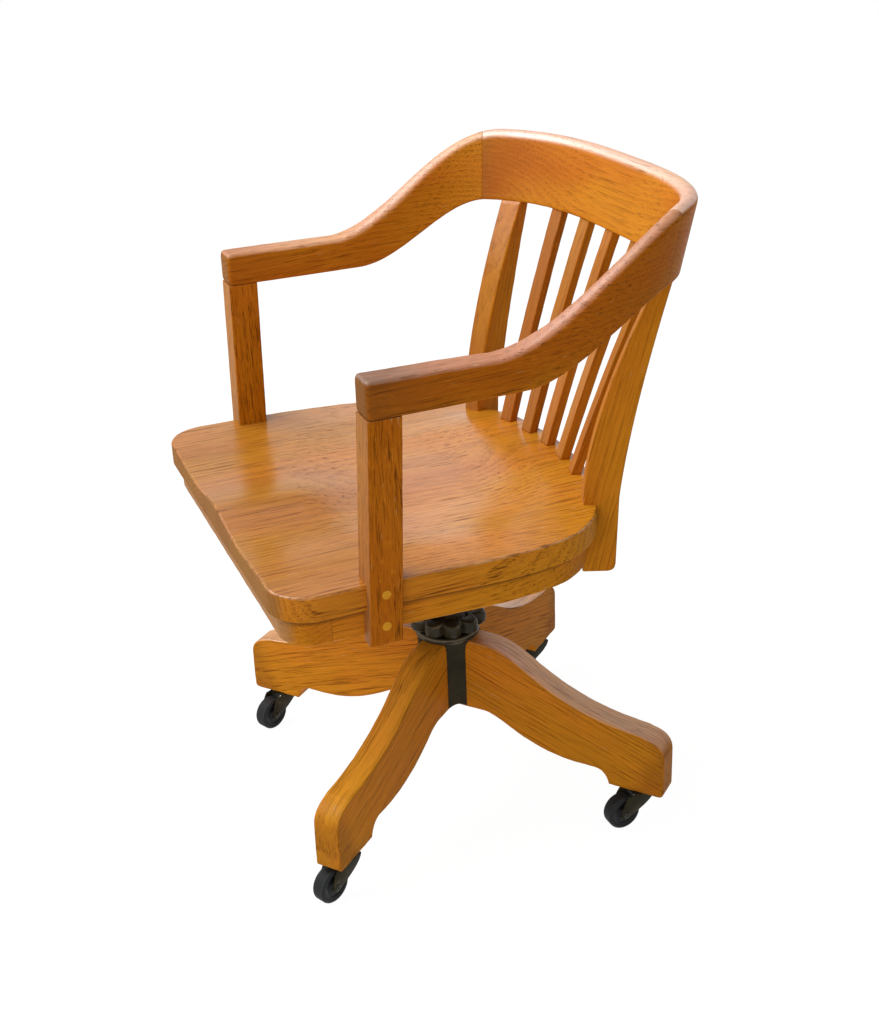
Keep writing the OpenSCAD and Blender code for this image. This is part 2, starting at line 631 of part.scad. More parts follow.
module tilt_spring() {
    mid_r = spring_r - spring_wire_r;
    rise = (spring_l - 2 * spring_wire_r - 2 * gap) / spring_turns;
    steps = 14;
    sides = 6;
    rings = [for (i = [0:steps * spring_turns]) let (
        a = 360 * i / steps,
        c = [mid_r * cos(a), mid_r * sin(a) - bolt_y, nose_z - spring_l + spring_wire_r + gap + rise * i / steps])
        [for (j = [0:sides - 1]) let (b = 360 * j / sides)
            c + spring_wire_r * [cos(b) * cos(a), cos(b) * sin(a), sin(b)]]];
    color(steel) loft(rings);
}

// Seat board and its frame

// The board's skin: rings of its outline drawn in towards the scoop, over a flat underside with
// a lip round the rear that keeps the rim's thickness and covers the rails' top edge
lip_in = [rail_setback - gap, rail_setback - 2];
module seat_blank() {
    rim = seat_outline(0);
    c = [0, scoop_y];
    bed = [for (p = seat_outline(lip_in[0])) [p[0], p[1], board_low]];
    lip = [for (p = seat_outline(lip_in[1])) [p[0], p[1], board_low - rim_fall(p[0], p[1])]];
    low = [for (p = rim) [p[0], p[1], board_low - rim_fall(p[0], p[1])]];
    tops = [for (k = seat_rings) [for (p = rim) let (q = c + k * (p - c)) [q[0], q[1], seat_top + saddle(q[0], q[1])]]];
    rings = concat([bed, lip, low], tops);
    n = len(rim);
    m = len(rings);
    skin = [for (ring = rings, p = ring) p];
    middle = [[c[0], c[1], seat_top + saddle(c[0], c[1])], [c[0], c[1], board_low]];
    walls = [for (i = [0:m - 2], j = [0:n - 1]) let (a = i * n + j, b = i * n + (j + 1) % n)
        each [[a, b + n, b], [a, a + n, b + n]]];
    peak = [for (j = [0:n - 1]) [(m - 1) * n + (j + 1) % n, (m - 1) * n + j, m * n]];
    under = [for (j = [0:n - 1]) [j, (j + 1) % n, m * n + 1]];
    polyhedron(concat(skin, middle), concat(walls, peak, under));
}

module seat_board() {
    color(oak) difference() {
        seat_blank();
        both_sides() post_blank(slip);
        both_sides() stile_blank(slip);
        for (k = [-2:2]) slat_housing(k);
        for (a = [45:90:315]) rotate([0, 0, a]) translate([iron_screw_at, 0, board_low - iron_t])
            pillar(iron_screw_r + slip, 20 + slip);
    }
}

// The rails' underside falls towards the rear with the seat's edge
rail_low = board_low - rail_h - rear_fall - 1;
fall_steps = 16;
module rail_band() {
    difference() {
        translate([0, 0, rail_low]) linear_extrude(board_low - rail_low) difference() {
            polygon(seat_outline(rail_setback));
            polygon(seat_outline(rail_setback + rail_t));
        }
        translate([-seat_half_w - 20, 0, 0]) rotate([90, 0, 90]) linear_extrude(2 * seat_half_w + 40)
            polygon(concat([[-seat_front - 20, rail_low - 10], [200, rail_low - 10], [200, rail_low + 1]],
                [for (i = [fall_steps:-1:0]) let (y = mix(-200, 120, i / fall_steps)) [y, board_low - rail_h - edge_fall(y)]],
                [[-seat_front - 20, board_low - rail_h]]));
    }
}

module front_rail() {
    color(oak) intersection() {
        rail_band();
        translate([-seat_half_w, -seat_front, rail_low]) cube([2 * seat_half_w, seat_front - rail_joint_y, board_low - rail_low]);
    }
}

module side_rail() {
    far = stile_corner + 200 * stile_lay;
    near = stile_corner - 100 * stile_lay;
    color(oak) difference() {
        intersection() {
            rail_band();
            translate([0, 0, rail_low]) linear_extrude(board_low - rail_low) polygon([
                [seat_half_w, -rail_joint_y], [seat_half_w, 60], far, near, [near[0], -rail_joint_y]]);
        }
        post_blank(slip);
        stile_blank(slip);
    }
}

module back_rail() {
    inner = stile_corner + stile_t_low * stile_side;
    a = inner - 60 * stile_lay;
    b = inner + 80 * stile_lay;
    color(oak) difference() {
        intersection() {
            rail_band();
            translate([0, 0, rail_low]) linear_extrude(board_low - rail_low)
                polygon([[0, 0], a, b, [-b[0], b[1]], [-a[0], a[1]]]);
        }
        both_sides() stile_blank(slip);
    }
}

// Arm posts: a leaning bar whose lower half is cut back to lap over the rail

module post_bar(grow, low, high) {
    translate([post_out, -post_front, seat_top]) rotate([-post_rake, 0, 0]) rotate([0, post_splay, 0])
        translate([-post_w - grow, -grow, low]) cube([post_w + 2 * grow, post_d + 2 * grow, high - low]);
}
lap_x = seat_half_w - rail_setback - 1.2;
module post_blank(grow) {
    intersection() {
        post_bar(grow, -post_drop - 5, 20);
        translate([lap_x - grow, -post_front - 30, seat_top - post_drop - 10]) cube([60, 120, post_drop + 60]);
    }
}
module front_post() {
    color(oak) {
        difference() {
            post_bar(0, -post_drop - 5, arm_bottom - seat_top + 5);
            translate([post_out - post_w - 20, -post_front - 30, seat_top - post_drop - 20])
                cube([lap_x - post_out + post_w + 20, 120, post_drop + 20]);
            translate([post_out - 80, -post_front - 60, seat_top - post_drop - 40]) cube([120, 200, 40]);
            translate([post_out - 80, -post_front - 60, arm_bottom]) cube([120, 200, 40]);
            for (z = plug_heights) plug_shape(z, slip);
        }
        translate([arm_front_x, bow_front_y + post_d / 2, arm_bottom - 1]) pillar(post_tenon_r, 21);
    }
}
plug_heights = [-11, -seat_t - 0.55 * rail_h];
module plug_shape(z, grow) {
    at = seat_top + z;
    translate([post_out + post_rise_x(at), post_d / 2 - post_front + post_rise_y(at), at]) rotate([0, 90 + post_splay, 0])
        translate([0, 0, -6 - grow]) pillar(plug_r + grow, 6 + 2 * grow);
}
module post_plugs() {
    color(oak_dark) both_sides() for (z = plug_heights) plug_shape(z, 0);
}

// Back

module stile_blank(grow) {
    translate([stile_out, stile_y, seat_top]) rotate([0, 0, 90 - stile_turn])
        translate([-grow, -grow, -stile_drop - 5])
            cube([stile_d + 60, stile_t_low + 2 * grow, stile_drop + 25]);
}
module stile_dowel(grow) {
    translate([stile_dowel_at[0], stile_dowel_at[1], crest_bottom - 1]) pillar(stile_dowel_r + grow, stile_dowel_l + 1 + grow);
}
module back_stile() {
    color(oak) {
        loft(stile_rings);
        stile_dowel(0);
    }
}

function slat_turn(k) = let (d = slat_head(k) - slat_foot(k)) atan2(d[0], d[1]);
module at_slat(k, at, z) {
    translate([at[0], at[1], z]) rotate([0, 0, 90 - slat_turn(k)]) children();
}
module slat_bar(k) {
    run = norm(slat_head(k) - slat_foot(k));
    low = -slat_sink;
    front = concat([[low * 0.3, low]], bezier2([0, 0], [run / 2 - slat_bow, stile_rise / 2], [run, stile_rise], 10));
    outline = concat(front, [for (i = [len(front) - 1:-1:0]) front[i] + [slat_t, 0]]);
    at_slat(k, slat_foot(k), seat_top) translate([0, slat_w / 2, 0]) rotate([90, 0, 0])
        linear_extrude(slat_w) polygon(outline);
}
module slat_tenon(grow) {
    translate([slat_t / 2 - slat_tenon[1] / 2 - grow, -slat_tenon[0] / 2 - grow, -1])
        cube([slat_tenon[1] + 2 * grow, slat_tenon[0] + 2 * grow, slat_tenon[2] + 1 + grow]);
}
module slat_housing(k) {
    at_slat(k, slat_foot(k), seat_top - slat_sink) {
        translate([-slat_sink * 0.3 - slip, -slat_w / 2 - slip, 0])
            cube([slat_t + slat_sink * 0.3 + 2 * slip, slat_w + 2 * slip, slat_sink + 5]);
        translate([slat_t / 2 - slat_tenon[1] / 2 - slip, -slat_tenon[0] / 2 - slip, -slat_tenon[2] - slip])
            cube([slat_tenon[1] + 2 * slip, slat_tenon[0] + 2 * slip, slat_tenon[2] + 2]);
    }
}
module slat(k) {
    color(oak) union() {
        slat_bar(k);
        at_slat(k, slat_head(k), crest_bottom) slat_tenon(0);
        at_slat(k, slat_foot(k), seat_top - slat_sink - slat_tenon[2])
            translate([slat_t / 2 - slat_tenon[1] / 2, -slat_tenon[0] / 2, 0])
                cube([slat_tenon[1], slat_tenon[0], slat_tenon[2] + 1]);
    }
}

// Arms and crest

module arm(side) {
    color(oak) difference() {
        loft([for (i = [0:arm_seam]) side > 0 ? bow_ring(i, 1) : turned(bow_ring(i, -1))]);
        translate([side * arm_front_x, bow_front_y + post_d / 2, arm_bottom - reach_over])
            pillar(post_tenon_r + slip, 21 + reach_over);
    }
}

module crest_rail() {
    color(oak) difference() {
        loft(concat(
            [for (i = [arm_seam:bow_last]) bow_ring(i, 1)],
            [for (i = [bow_last - 1:-1:arm_seam]) bow_ring(i, -1)]));
        for (k = [-2:2]) at_slat(k, slat_head(k), crest_bottom) slat_tenon(slip);
        both_sides() stile_dowel(slip);
    }
}

hub_casting();
leg("front_left");  // leg_front_left
leg("front_right");  // leg_front_right
leg("rear_left");  // leg_rear_left
leg("rear_right");  // leg_rear_right
leg_screws();
caster_sockets();
caster_fork("front_left");  // caster_fork_front_left
caster_fork("front_right");  // caster_fork_front_right
caster_fork("rear_left");  // caster_fork_rear_left
caster_fork("rear_right");  // caster_fork_rear_right
caster_axle("front_left");  // caster_axle_front_left
caster_axle("front_right");  // caster_axle_front_right
caster_axle("rear_left");  // caster_axle_rear_left
caster_axle("rear_right");  // caster_axle_rear_right
caster_wheel("front_left");  // caster_wheel_front_left
caster_wheel("front_right");  // caster_wheel_front_right
caster_wheel("rear_left");  // caster_wheel_rear_left
caster_wheel("rear_right");  // caster_wheel_rear_right
thrust_washer();
hand_wheel();
spindle();
tilt_yoke();
tilt_pin();
seat_iron();
seat_iron_screws();
tension_bolt();
tension_nut();
tilt_spring();
seat_board();
front_rail();
side_rail();  // side_rail_left
mirror([1, 0, 0]) side_rail();  // side_rail_right
back_rail();
front_post();  // front_post_left
mirror([1, 0, 0]) front_post();  // front_post_right
post_plugs();
arm(1);  // arm_left
arm(-1);  // arm_right
crest_rail();
back_stile();  // back_stile_left
mirror([1, 0, 0]) back_stile();  // back_stile_right
slat(-2);  // slat_1
slat(-1);  // slat_2
slat(0);  // slat_3
slat(1);  // slat_4
slat(2);  // slat_5
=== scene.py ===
"""Looks of the oak swivel desk chair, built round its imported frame.

Lengths in the formulas are millimetres; add_piece turns them into metres. +Z is up, the sitter
faces -Y, and the origin is on the swivel axis at the floor.
"""

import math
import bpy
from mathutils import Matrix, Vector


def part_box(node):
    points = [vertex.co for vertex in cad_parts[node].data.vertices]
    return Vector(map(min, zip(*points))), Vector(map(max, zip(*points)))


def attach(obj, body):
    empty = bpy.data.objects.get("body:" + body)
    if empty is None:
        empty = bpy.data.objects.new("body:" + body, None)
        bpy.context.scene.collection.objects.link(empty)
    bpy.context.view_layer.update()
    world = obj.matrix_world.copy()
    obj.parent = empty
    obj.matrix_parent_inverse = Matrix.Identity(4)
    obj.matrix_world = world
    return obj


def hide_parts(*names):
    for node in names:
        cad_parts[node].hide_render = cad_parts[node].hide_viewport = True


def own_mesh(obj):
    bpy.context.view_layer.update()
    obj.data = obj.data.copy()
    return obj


bl_info = {
    "name": "Oak swivel desk chair",
    "version": (1, 0, 0),
    "blender": (4, 5, 0),
    "location": "3D View > Sidebar > Desk chair",
    "description": "Seat, back, base and casters of a tilting desk chair in oak, with its studio",
    "category": "Object",
}

from types import SimpleNamespace

import bpy
import numpy as np
from mathutils import Matrix, Vector

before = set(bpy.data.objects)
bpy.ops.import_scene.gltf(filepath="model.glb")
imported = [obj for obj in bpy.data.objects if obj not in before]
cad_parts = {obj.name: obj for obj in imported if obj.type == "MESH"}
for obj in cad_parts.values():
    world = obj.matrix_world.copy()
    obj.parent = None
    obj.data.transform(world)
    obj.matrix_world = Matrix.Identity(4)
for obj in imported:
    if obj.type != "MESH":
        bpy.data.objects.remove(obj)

LEG_TURNS = {"front_left": -90, "rear_left": 0, "rear_right": 90, "front_right": 180}
UP = np.array([0, 0, 1.0])
BASE_TURN = 39  # degrees that the legs stand off the chair's X axis
BOARD_STEPS = (0.10, -0.13, 0.09, 0.06)  # steps in tone from board to board of the seat
POST_FRONT = -206  # the arm posts' front faces along Y, at the seat's rim
POST_PROUD = 11.5  # how far the arm posts stand out from the seat's side
POST_LEAN_OUT, POST_LEAN_BACK = math.radians(2.2), math.radians(1.7)
SPRING_AT = -88  # the tension bolt along Y
TILT_METAL = ("thrust_washer", "tilt_pin", "seat_iron_screws", "tension_bolt", "tension_nut", "leg_screws",
              "caster_sockets")
CASTER_TURNS = {"front_left": -64, "front_right": -64, "rear_left": -88, "rear_right": -78}


# Sizes and colours that a user may change

def length(name, description, default):
    """A length in metres, shown in the scene's unit."""
    return bpy.props.FloatProperty(
        name=name, description=description, default=default, subtype="DISTANCE", unit="LENGTH")


def colour(name, description, default):
    """A colour, as linear red, green and blue."""
    return bpy.props.FloatVectorProperty(
        name=name, description=description, default=default, subtype="COLOR", size=3, min=0, max=1)


class ChairSizes(bpy.types.PropertyGroup):
    seat_top: length("Seat height", "Height of the seat board's rim", 0.484)
    seat_t: length("Seat thickness", "Thickness of the seat board at its rim", 0.032)
    seat_front: length("Seat front", "Swivel axis to the seat's front edge", 0.309)
    seat_half_w: length("Half seat width", "Middle line to the seat's side", 0.2765)
    scoop_depth: length("Scoop depth", "Depth of the round scoop in the seat", 0.013)
    thigh_depth: length("Thigh hollows", "Depth of the two hollows at the front edge", 0.006)
    ridge_h: length("Ridge", "Height of the ridge between the thighs", 0.0045)
    rear_fall: length("Rear fall", "Fall of the rim towards the rear corners", 0.010)
    rail_h: length("Rail height", "Height of the rails under the seat", 0.036)
    rail_t: length("Rail thickness", "Thickness of the rails", 0.022)
    rail_setback: length("Rail setback", "How far the rails stand back from the seat's edge", 0.011)
    post_w: length("Post width", "Width of an arm post across the chair", 0.038)
    post_d: length("Post depth", "Depth of an arm post, front to back", 0.040)
    arm_bottom: length("Arm height", "Underside of the arms at the posts", 0.6865)
    arm_h: length("Arm thickness", "Top to bottom of the arms at the posts", 0.044)
    arm_w: length("Arm width", "Width of the arms at the posts", 0.038)
    crest_bottom: length("Crest underside", "Underside of the crest rail", 0.767)
    crest_h: length("Crest height", "Top to bottom of the crest rail", 0.096)
    crest_t: length("Crest thickness", "Front to back of the crest rail", 0.021)
    slat_w: length("Slat width", "Width of a slat", 0.021)
    slat_t: length("Slat thickness", "Thickness of a slat", 0.014)
    leg_w: length("Leg thickness", "Thickness of the four legs", 0.036)
    leg_reach: length("Leg reach", "Swivel axis to the foot's end", 0.330)
    caster_r: length("Caster radius", "Radius of a caster's wheel", 0.024)
    tread_w: length("Tread width", "Width of a caster's tread", 0.020)
    spindle_r: length("Spindle radius", "Radius of the screwed spindle", 0.013)
    wheel_r: length("Hand wheel radius", "Swivel axis to the hand wheel's lobes", 0.055)
    worn_edge: length("Worn edge", "Radius of the worn edges of posts and legs", 0.0020)


class OakColours(bpy.types.PropertyGroup):
    honey: colour("Honey", "Light wood between the pores", (0.662, 0.236, 0.016))
    amber: colour("Amber", "The oak's middle tone", (0.430, 0.117, 0.004))
    umber: colour("Umber", "Pores and late wood", (0.125, 0.031, 0.002))
    # Besides dirt on edges and end grain, this colour paints the shade under the seat board on the rails.
    grime_and_shade: colour("Grime", "Dirt in worn edges and end grain", (0.070, 0.028, 0.008))
    bare: colour("Bare wood", "Wood where the varnish is worn off", (0.620, 0.360, 0.150))
    gloss: bpy.props.FloatProperty(
        name="Varnish", description="Share of the varnish that is left", default=0.85, min=0, max=1, subtype="FACTOR")


class MetalColours(bpy.types.PropertyGroup):
    japan: colour("Japanned iron", "Black lacquer of the castings", (0.019, 0.015, 0.006))
    rubbed: colour("Rubbed iron", "Iron where the lacquer is worn", (0.105, 0.085, 0.055))
    steel: colour("Steel", "Spindle, pins and bolts", (0.210, 0.195, 0.170))
    tread: colour("Tread", "Black rubber of the caster wheels", (0.005, 0.005, 0.006))
    # Also the pale grey of the painted highlight rings on the wheels' rounded corners.
    dust_and_highlight: colour("Dust", "Grey dust on the treads", (0.100, 0.105, 0.105))


def chair_sizes():
    """The chair's lengths in millimetres."""
    group = bpy.context.scene.chair_sizes
    return SimpleNamespace(**{key: 1000 * getattr(group, key) for key in ChairSizes.__annotations__})


# Shader maths

class Value:
    """A float socket. An expression on values adds the Math nodes that work it out."""

    def __init__(self, finish, socket):
        self.finish, self.socket = finish, socket

    def maths(self, operation, first, second=0.0, clamp=False):
        node = self.finish.node("ShaderNodeMath", {"operation": operation, "use_clamp": clamp}, {0: first, 1: second})
        return Value(self.finish, node.outputs[0])

    def __add__(self, other): return self.maths("ADD", self, other)
    def __radd__(self, other): return self.maths("ADD", other, self)
    def __sub__(self, other): return self.maths("SUBTRACT", self, other)
    def __rsub__(self, other): return self.maths("SUBTRACT", other, self)
    def __mul__(self, other): return self.maths("MULTIPLY", self, other)
    def __rmul__(self, other): return self.maths("MULTIPLY", other, self)
    def most(self, other): return self.maths("MAXIMUM", self, other)
    def size(self): return self.maths("ABSOLUTE", self)
    def clamped(self): return self.maths("ADD", self, 0.0, clamp=True)

    def between(self, low, high):
        """0 below low and 1 above high, with a smooth step from one to the other."""
        node = self.finish.node("ShaderNodeMapRange", {"interpolation_type": "SMOOTHSTEP"},
                                {"Value": self, "From Min": low, "From Max": high})
        return Value(self.finish, node.outputs[0])


class Finish:
    """A material under construction: adds nodes, and joins them to one Principled shader."""

    def __init__(self, name):
        self.material = bpy.data.materials.new(name)
        self.material.use_nodes = True
        self.tree = self.material.node_tree
        self.tree.nodes.clear()

    def node(self, kind, settings=None, values=None):
        """Adds a node of this type: its settings first, then the values or links of its sockets."""
        made = self.tree.nodes.new(kind)
        for key, value in (settings or {}).items():
            setattr(made, key, value)
        for key, value in (values or {}).items():
            if isinstance(value, Value):
                self.tree.links.new(value.socket, made.inputs[key])
            elif isinstance(value, bpy.types.NodeSocket):
                self.tree.links.new(value, made.inputs[key])
            else:
                made.inputs[key].default_value = value
        return made

    def place(self, along=(1, 0, 0), shift=(0, 0, 0)):
        """Object coordinates, or the grain attribute where along is None, shifted and then turned so that the
        direction along becomes X."""
        turn = Vector(along or (1, 0, 0)).rotation_difference(Vector((1, 0, 0))).to_euler()
        if along is None:
            source = self.node("ShaderNodeAttribute", {"attribute_name": "grain"}).outputs["Vector"]
        else:
            source = self.node("ShaderNodeTexCoord").outputs["Object"]
        moved = self.node("ShaderNodeVectorMath", {"operation": "ADD"}, {0: source, 1: shift}).outputs[0]
        return self.node("ShaderNodeMapping", {"vector_type": "POINT"}, {"Vector": moved, "Rotation": turn}).outputs[0]

    def split(self, vector):
        """The three coordinates of a vector, as values."""
        return [Value(self, s) for s in self.node("ShaderNodeSeparateXYZ", None, {0: vector}).outputs]

    def stretched(self, place, factors):
        """A place with each of its three coordinates multiplied by a factor."""
        return self.node("ShaderNodeVectorMath", {"operation": "MULTIPLY"}, {0: place, 1: factors}).outputs[0]

    def noise(self, place, factors=(1, 1, 1), detail=2.0, roughness=0.5, distortion=0.0):
        values = {"Vector": self.stretched(place, factors), "Scale": 1.0, "Detail": detail,
                  "Roughness": roughness, "Distortion": distortion}
        return Value(self, self.node("ShaderNodeTexNoise", {"noise_dimensions": "3D"}, values).outputs[0])

    def attribute(self, name):
        return Value(self, self.node("ShaderNodeAttribute", {"attribute_name": name}).outputs["Fac"])

    def mix(self, share, under, over, blend="MIX"):
        """Two colours mixed by a share from 0 to 1."""
        node = self.node("ShaderNodeMix", {"data_type": "RGBA", "blend_type": blend}, {0: share, 6: under, 7: over})
        return node.outputs[2]

    def bump(self, height, depth, after=None):
        """A normal for a height from 0 to 1 that stands for a depth in millimetres."""
        values = {"Height": height, "Distance": depth / 1000, "Strength": 1.0}
        if after is not None:
            values["Normal"] = after
        return self.node("ShaderNodeBump", None, values).outputs[0]

    def close(self, values):
        """Joins a Principled shader with these sockets to the output."""
        shader = self.node("ShaderNodeBsdfPrincipled", None, values)
        self.node("ShaderNodeOutputMaterial", None, {"Surface": shader.outputs[0]})
        return self.material


def rgba(rgb):
    return (*rgb, 1.0)


def oak(piece, along=(1, 0, 0), shift=(0, 0, 0), tone=0.0, gloss=1.0, seams=(), end_axis=None, soil=None,
        edges=0.7, sheen=1.5, under=None, bright=0.0, figure=0.5, polish=0.16, ends=0.55, foot=None, front=0.0):
    """Varnished oak: ring bands that are distances from a pith line along the grain, bent by slow noise,
    with long dark pores, pale rays, worn edges from the wear attribute and end grain where a
    surface faces along the grain. tone darkens it, seams are glue lines across X or Y between boards of
    slightly different tones, edges is how worn its arrises are, sheen is the varnish's IOR, and under is the
    height of a board over the piece, with painted shade in the corner below it, in place of the board's shadow,
    that falls to the rear as the board does.
    bright lightens it towards new yellow wood, five times as much on faces that look up as on upright ones; the extra
    on top is painted light from above. figure is how dark its streaks and pores are, polish is the varnish's roughness,
    ends how dark the end grain is, foot how far along the grain, shifted, dirt starts, and front how far the faces to
    the front are paled and greyed as painted light from the front."""
    colours = bpy.context.scene.oak_colours
    f = Finish(piece.replace("_", " ") + " oak")
    place = f.place(along, shift)
    x = f.split(place)[0]
    slow = f.noise(place, (3, 14, 14), 2, 0.5)
    wave = {"Vector": f.stretched(place, (0.10, 1, 1)), "Scale": 44.0, "Distortion": 11.0, "Detail": 3.0,
            "Detail Scale": 0.45, "Detail Roughness": 0.6}
    rings = Value(f, f.node("ShaderNodeTexWave", {"wave_type": "RINGS", "rings_direction": "X", "wave_profile": "SAW"},
                            wave).outputs["Fac"])
    streak = f.noise(place, (15, 640, 640), 4, 0.66)
    fine = f.noise(place, (45, 1200, 1200), 2, 0.6)
    pores = f.noise(place, (13, 900, 900), 2, 0.5)
    rays = f.noise(place, (70, 95, 500), 2, 0.5)
    broad = f.noise(place, (2.2, 6, 6), 3, 0.55)
    pore = pores.between(0.56, 0.64) * (0.40 + 0.60 * rings.between(0.30, 0.75))
    line = streak.between(0.53, 0.67) * (0.45 + 0.55 * rings)
    light = 0.62 * broad + 0.38 * slow + 0.16 * fine - 0.05 - tone
    seen = f.split(f.node("ShaderNodeTexCoord").outputs["Object"])
    for step, (axis, at) in zip(BOARD_STEPS, seams):
        light = light + step * seen[axis].between(at / 1000 - 0.0003, at / 1000 + 0.0003)
    light = light.between(0.28, 0.72)
    wood = f.mix(light, rgba(colours.amber), rgba(colours.honey))
    facing = f.split(f.node("ShaderNodeAttribute", {"attribute_name": "facing"}).outputs["Vector"])
    level = facing[2].between(0.15, 0.72)
    # Painted light: bright lightens faces that look up up to five times as much as upright faces, as light from above
    # does.
    wood = f.mix((bright * (0.2 + 0.8 * level)).clamped(), wood, rgba((0.80, 0.38, 0.035)))
    wood = f.mix(rings * 0.22, wood, rgba([c * 0.6 for c in colours.amber]))
    wood = f.mix(rays.between(0.58, 0.70) * 0.14, wood, rgba([min(1, c * 1.4) for c in colours.honey]))
    hue = f.noise(place, (4, 11, 11), 2, 0.5).between(0.38, 0.62)
    wood = f.mix(hue * 0.8, wood, rgba((0.93, 1.0, 0.72)), "MULTIPLY")
    wood = f.mix(0.8 - 0.8 * hue, wood, rgba((1.0, 0.93, 0.95)), "MULTIPLY")
    wood = f.mix(line * figure, wood, rgba(colours.umber))
    wood = f.mix(pore * (0.1 + figure), wood, rgba(colours.umber))
    rough = 0.42 + 0.16 * pore + 0.10 * (broad - 0.5)
    coat = colours.gloss * gloss * (0.01 + 0.99 * level) * (1 - 0.6 * pore) * (1 - 0.4 * line)
    coat = coat * (0.2 + 0.6 * fine + streak)
    height = 1 - 0.8 * pore - 0.30 * line + 0.10 * rings
    wear = f.attribute("wear")
    patch = f.noise(place, (34, 60, 60), 4, 0.68)
    worn = (wear + 1.7 * patch - 2.05 + 0.35 * edges).between(0.0, 0.42)
    wood = f.mix(worn * 0.62 * edges, wood, rgba([0.5 * (u + g) for u, g in zip(colours.umber, colours.grime_and_shade)]))
    scuffs = (wear + 1.6 * f.noise(place, (45, 50, 50), 3, 0.6) - 2.10 + 0.2 * edges).between(0.0, 0.2)
    wood = f.mix(scuffs * 0.30 * edges, wood, rgba(colours.bare))
    nick = f.noise(place, (90, 210, 210), 2, 0.6).between(0.70, 0.75) * (0.15 + 0.85 * wear) * edges
    wood = f.mix(nick * 0.8, wood, rgba(colours.grime_and_shade))
    chip = f.noise(place, (35, 330, 330), 1, 0.5).between(0.748, 0.766)
    wood = f.mix(chip * 0.6 * edges, wood, rgba(colours.bare))
    height = height - 2.0 * nick - chip
    coat = coat * (1 - 0.7 * worn) * (1 - nick)
    rough = rough + 0.18 * worn
    for axis, at in seams:
        near = (seen[axis] - at / 1000).size()
        gap = 1 - near.between(0.0001, 0.0009)
        wood = f.mix(gap * (0.25 + 0.5 * slow), wood, rgba(colours.grime_and_shade))
        height = height - 0.8 * gap
    if end_axis is not None:
        end = facing[end_axis].size().between(0.72, 0.94)
        speck = f.noise(place, (900, 900, 900), 2, 0.7).between(0.52, 0.68)
        tint = f.mix(speck * 0.8, rgba((0.230, 0.132, 0.050)), rgba(colours.grime_and_shade))
        tint = f.mix(rings * 0.45, tint, rgba(colours.umber))
        wood = f.mix(end * ends, wood, tint)
        rough = rough + 0.15 * end
        coat = coat * (1 - 0.4 * end)
    if soil is not None:
        axis, near_end, far_end, strength = soil
        reach = seen[axis].between(*sorted((near_end / 1000, far_end / 1000)))
        reach = 1 - reach if near_end > far_end else reach
        dirt = (reach * (0.55 + 0.9 * patch)).clamped() * (0.5 + 0.5 * level) * strength
        wood = f.mix(dirt, wood, rgba([1.6 * c for c in colours.grime_and_shade]))
        coat = coat * (1 - 0.4 * reach)
    # Painted light: faces towards the front (-Y) are paled and greyed by the share front, as light from the front does.
    front_lit = (0 - facing[1]).between(0.6, 0.95)
    wood = f.mix(front_lit * front, wood, rgba((0.26, 0.165, 0.080)))
    if foot is not None:
        reach = x.between(foot, foot + 0.045)
        wood = f.mix((reach * (0.25 + 0.7 * patch)).clamped() * 0.62, wood, rgba((0.150, 0.050, 0.008)))
        coat = coat * (1 - 0.5 * reach)
    # Painted shade: under darkens a band just below the board's underside, in place of the board's shadow, lower
    # towards the rear as the board falls.
    if under is not None:
        drop = bpy.context.scene.chair_sizes.rear_fall * seen[1].between(-0.2, 0.12)
        corner = (seen[2] + drop).between((under - 12) / 1000, (under - 4) / 1000)
        wood = f.mix(corner * 0.85, wood, rgba(colours.grime_and_shade))
    normal = f.bump(height, 0.22)
    normal = f.bump(f.noise(place, (18, 30, 30), 1, 0.5), 0.5, normal)
    return f.close({"Base Color": wood, "Roughness": rough.clamped(), "Coat Weight": coat.clamped(),
                    "Coat Roughness": polish, "Coat IOR": sheen, "Specular IOR Level": 0.02, "Normal": normal})


def iron(name, rub=0.5, cast=1.0, coat=0.07):
    """Japanned cast iron: black lacquer that rubs through to brown metal on edges and high spots,
    over a sandy casting surface, with as much gloss as coat."""
    colours = bpy.context.scene.metal_colours
    f = Finish(name)
    place = f.place()
    sand = f.noise(place, (420, 420, 420), 3, 0.6)
    broad = f.noise(place, (38, 38, 38), 3, 0.6)
    wear = f.attribute("wear")
    bright = (0.9 * wear + broad + 0.35 * sand - 1.22 + 0.35 * rub).between(0.0, 0.35)
    base = f.mix(broad.between(0.35, 0.7), rgba(colours.japan), rgba([1.8 * c for c in colours.japan]))
    base = f.mix(bright, base, rgba(colours.rubbed))
    rough = 0.36 + 0.22 * sand + 0.12 * broad - 0.08 * bright
    normal = f.bump(sand, 0.28 * cast)
    normal = f.bump(broad, 1.1 * cast, normal)
    return f.close({"Base Color": base, "Roughness": rough.clamped(), "Metallic": 0.85 * bright,
                    "Coat Weight": coat * (1 - bright), "Coat Roughness": 0.25, "Specular IOR Level": 0.07,
                    "Normal": normal})


def steel(name, dark=0.0):
    """Plain steel with brown stains, fine turning marks and a thin film of oil."""
    colours = bpy.context.scene.metal_colours
    f = Finish(name)
    place = f.place()
    stain = f.noise(place, (55, 55, 55), 4, 0.62)
    marks = f.noise(place, (150, 150, 2600), 2, 0.6)
    wear = f.attribute("wear")
    tone = [c * (1 - dark) for c in colours.steel]
    base = f.mix(stain.between(0.45, 0.68), rgba(tone), rgba([0.42 * tone[0], 0.33 * tone[1], 0.24 * tone[2]]))
    base = f.mix(wear * stain.between(0.3, 0.6), base, rgba([min(1, 1.7 * c) for c in colours.steel]))
    return f.close({"Base Color": base, "Roughness": (0.26 + 0.22 * stain + 0.1 * marks).clamped(), "Metallic": 0.86,
                    "Normal": f.bump(0.6 * marks + 0.4 * stain, 0.10)})


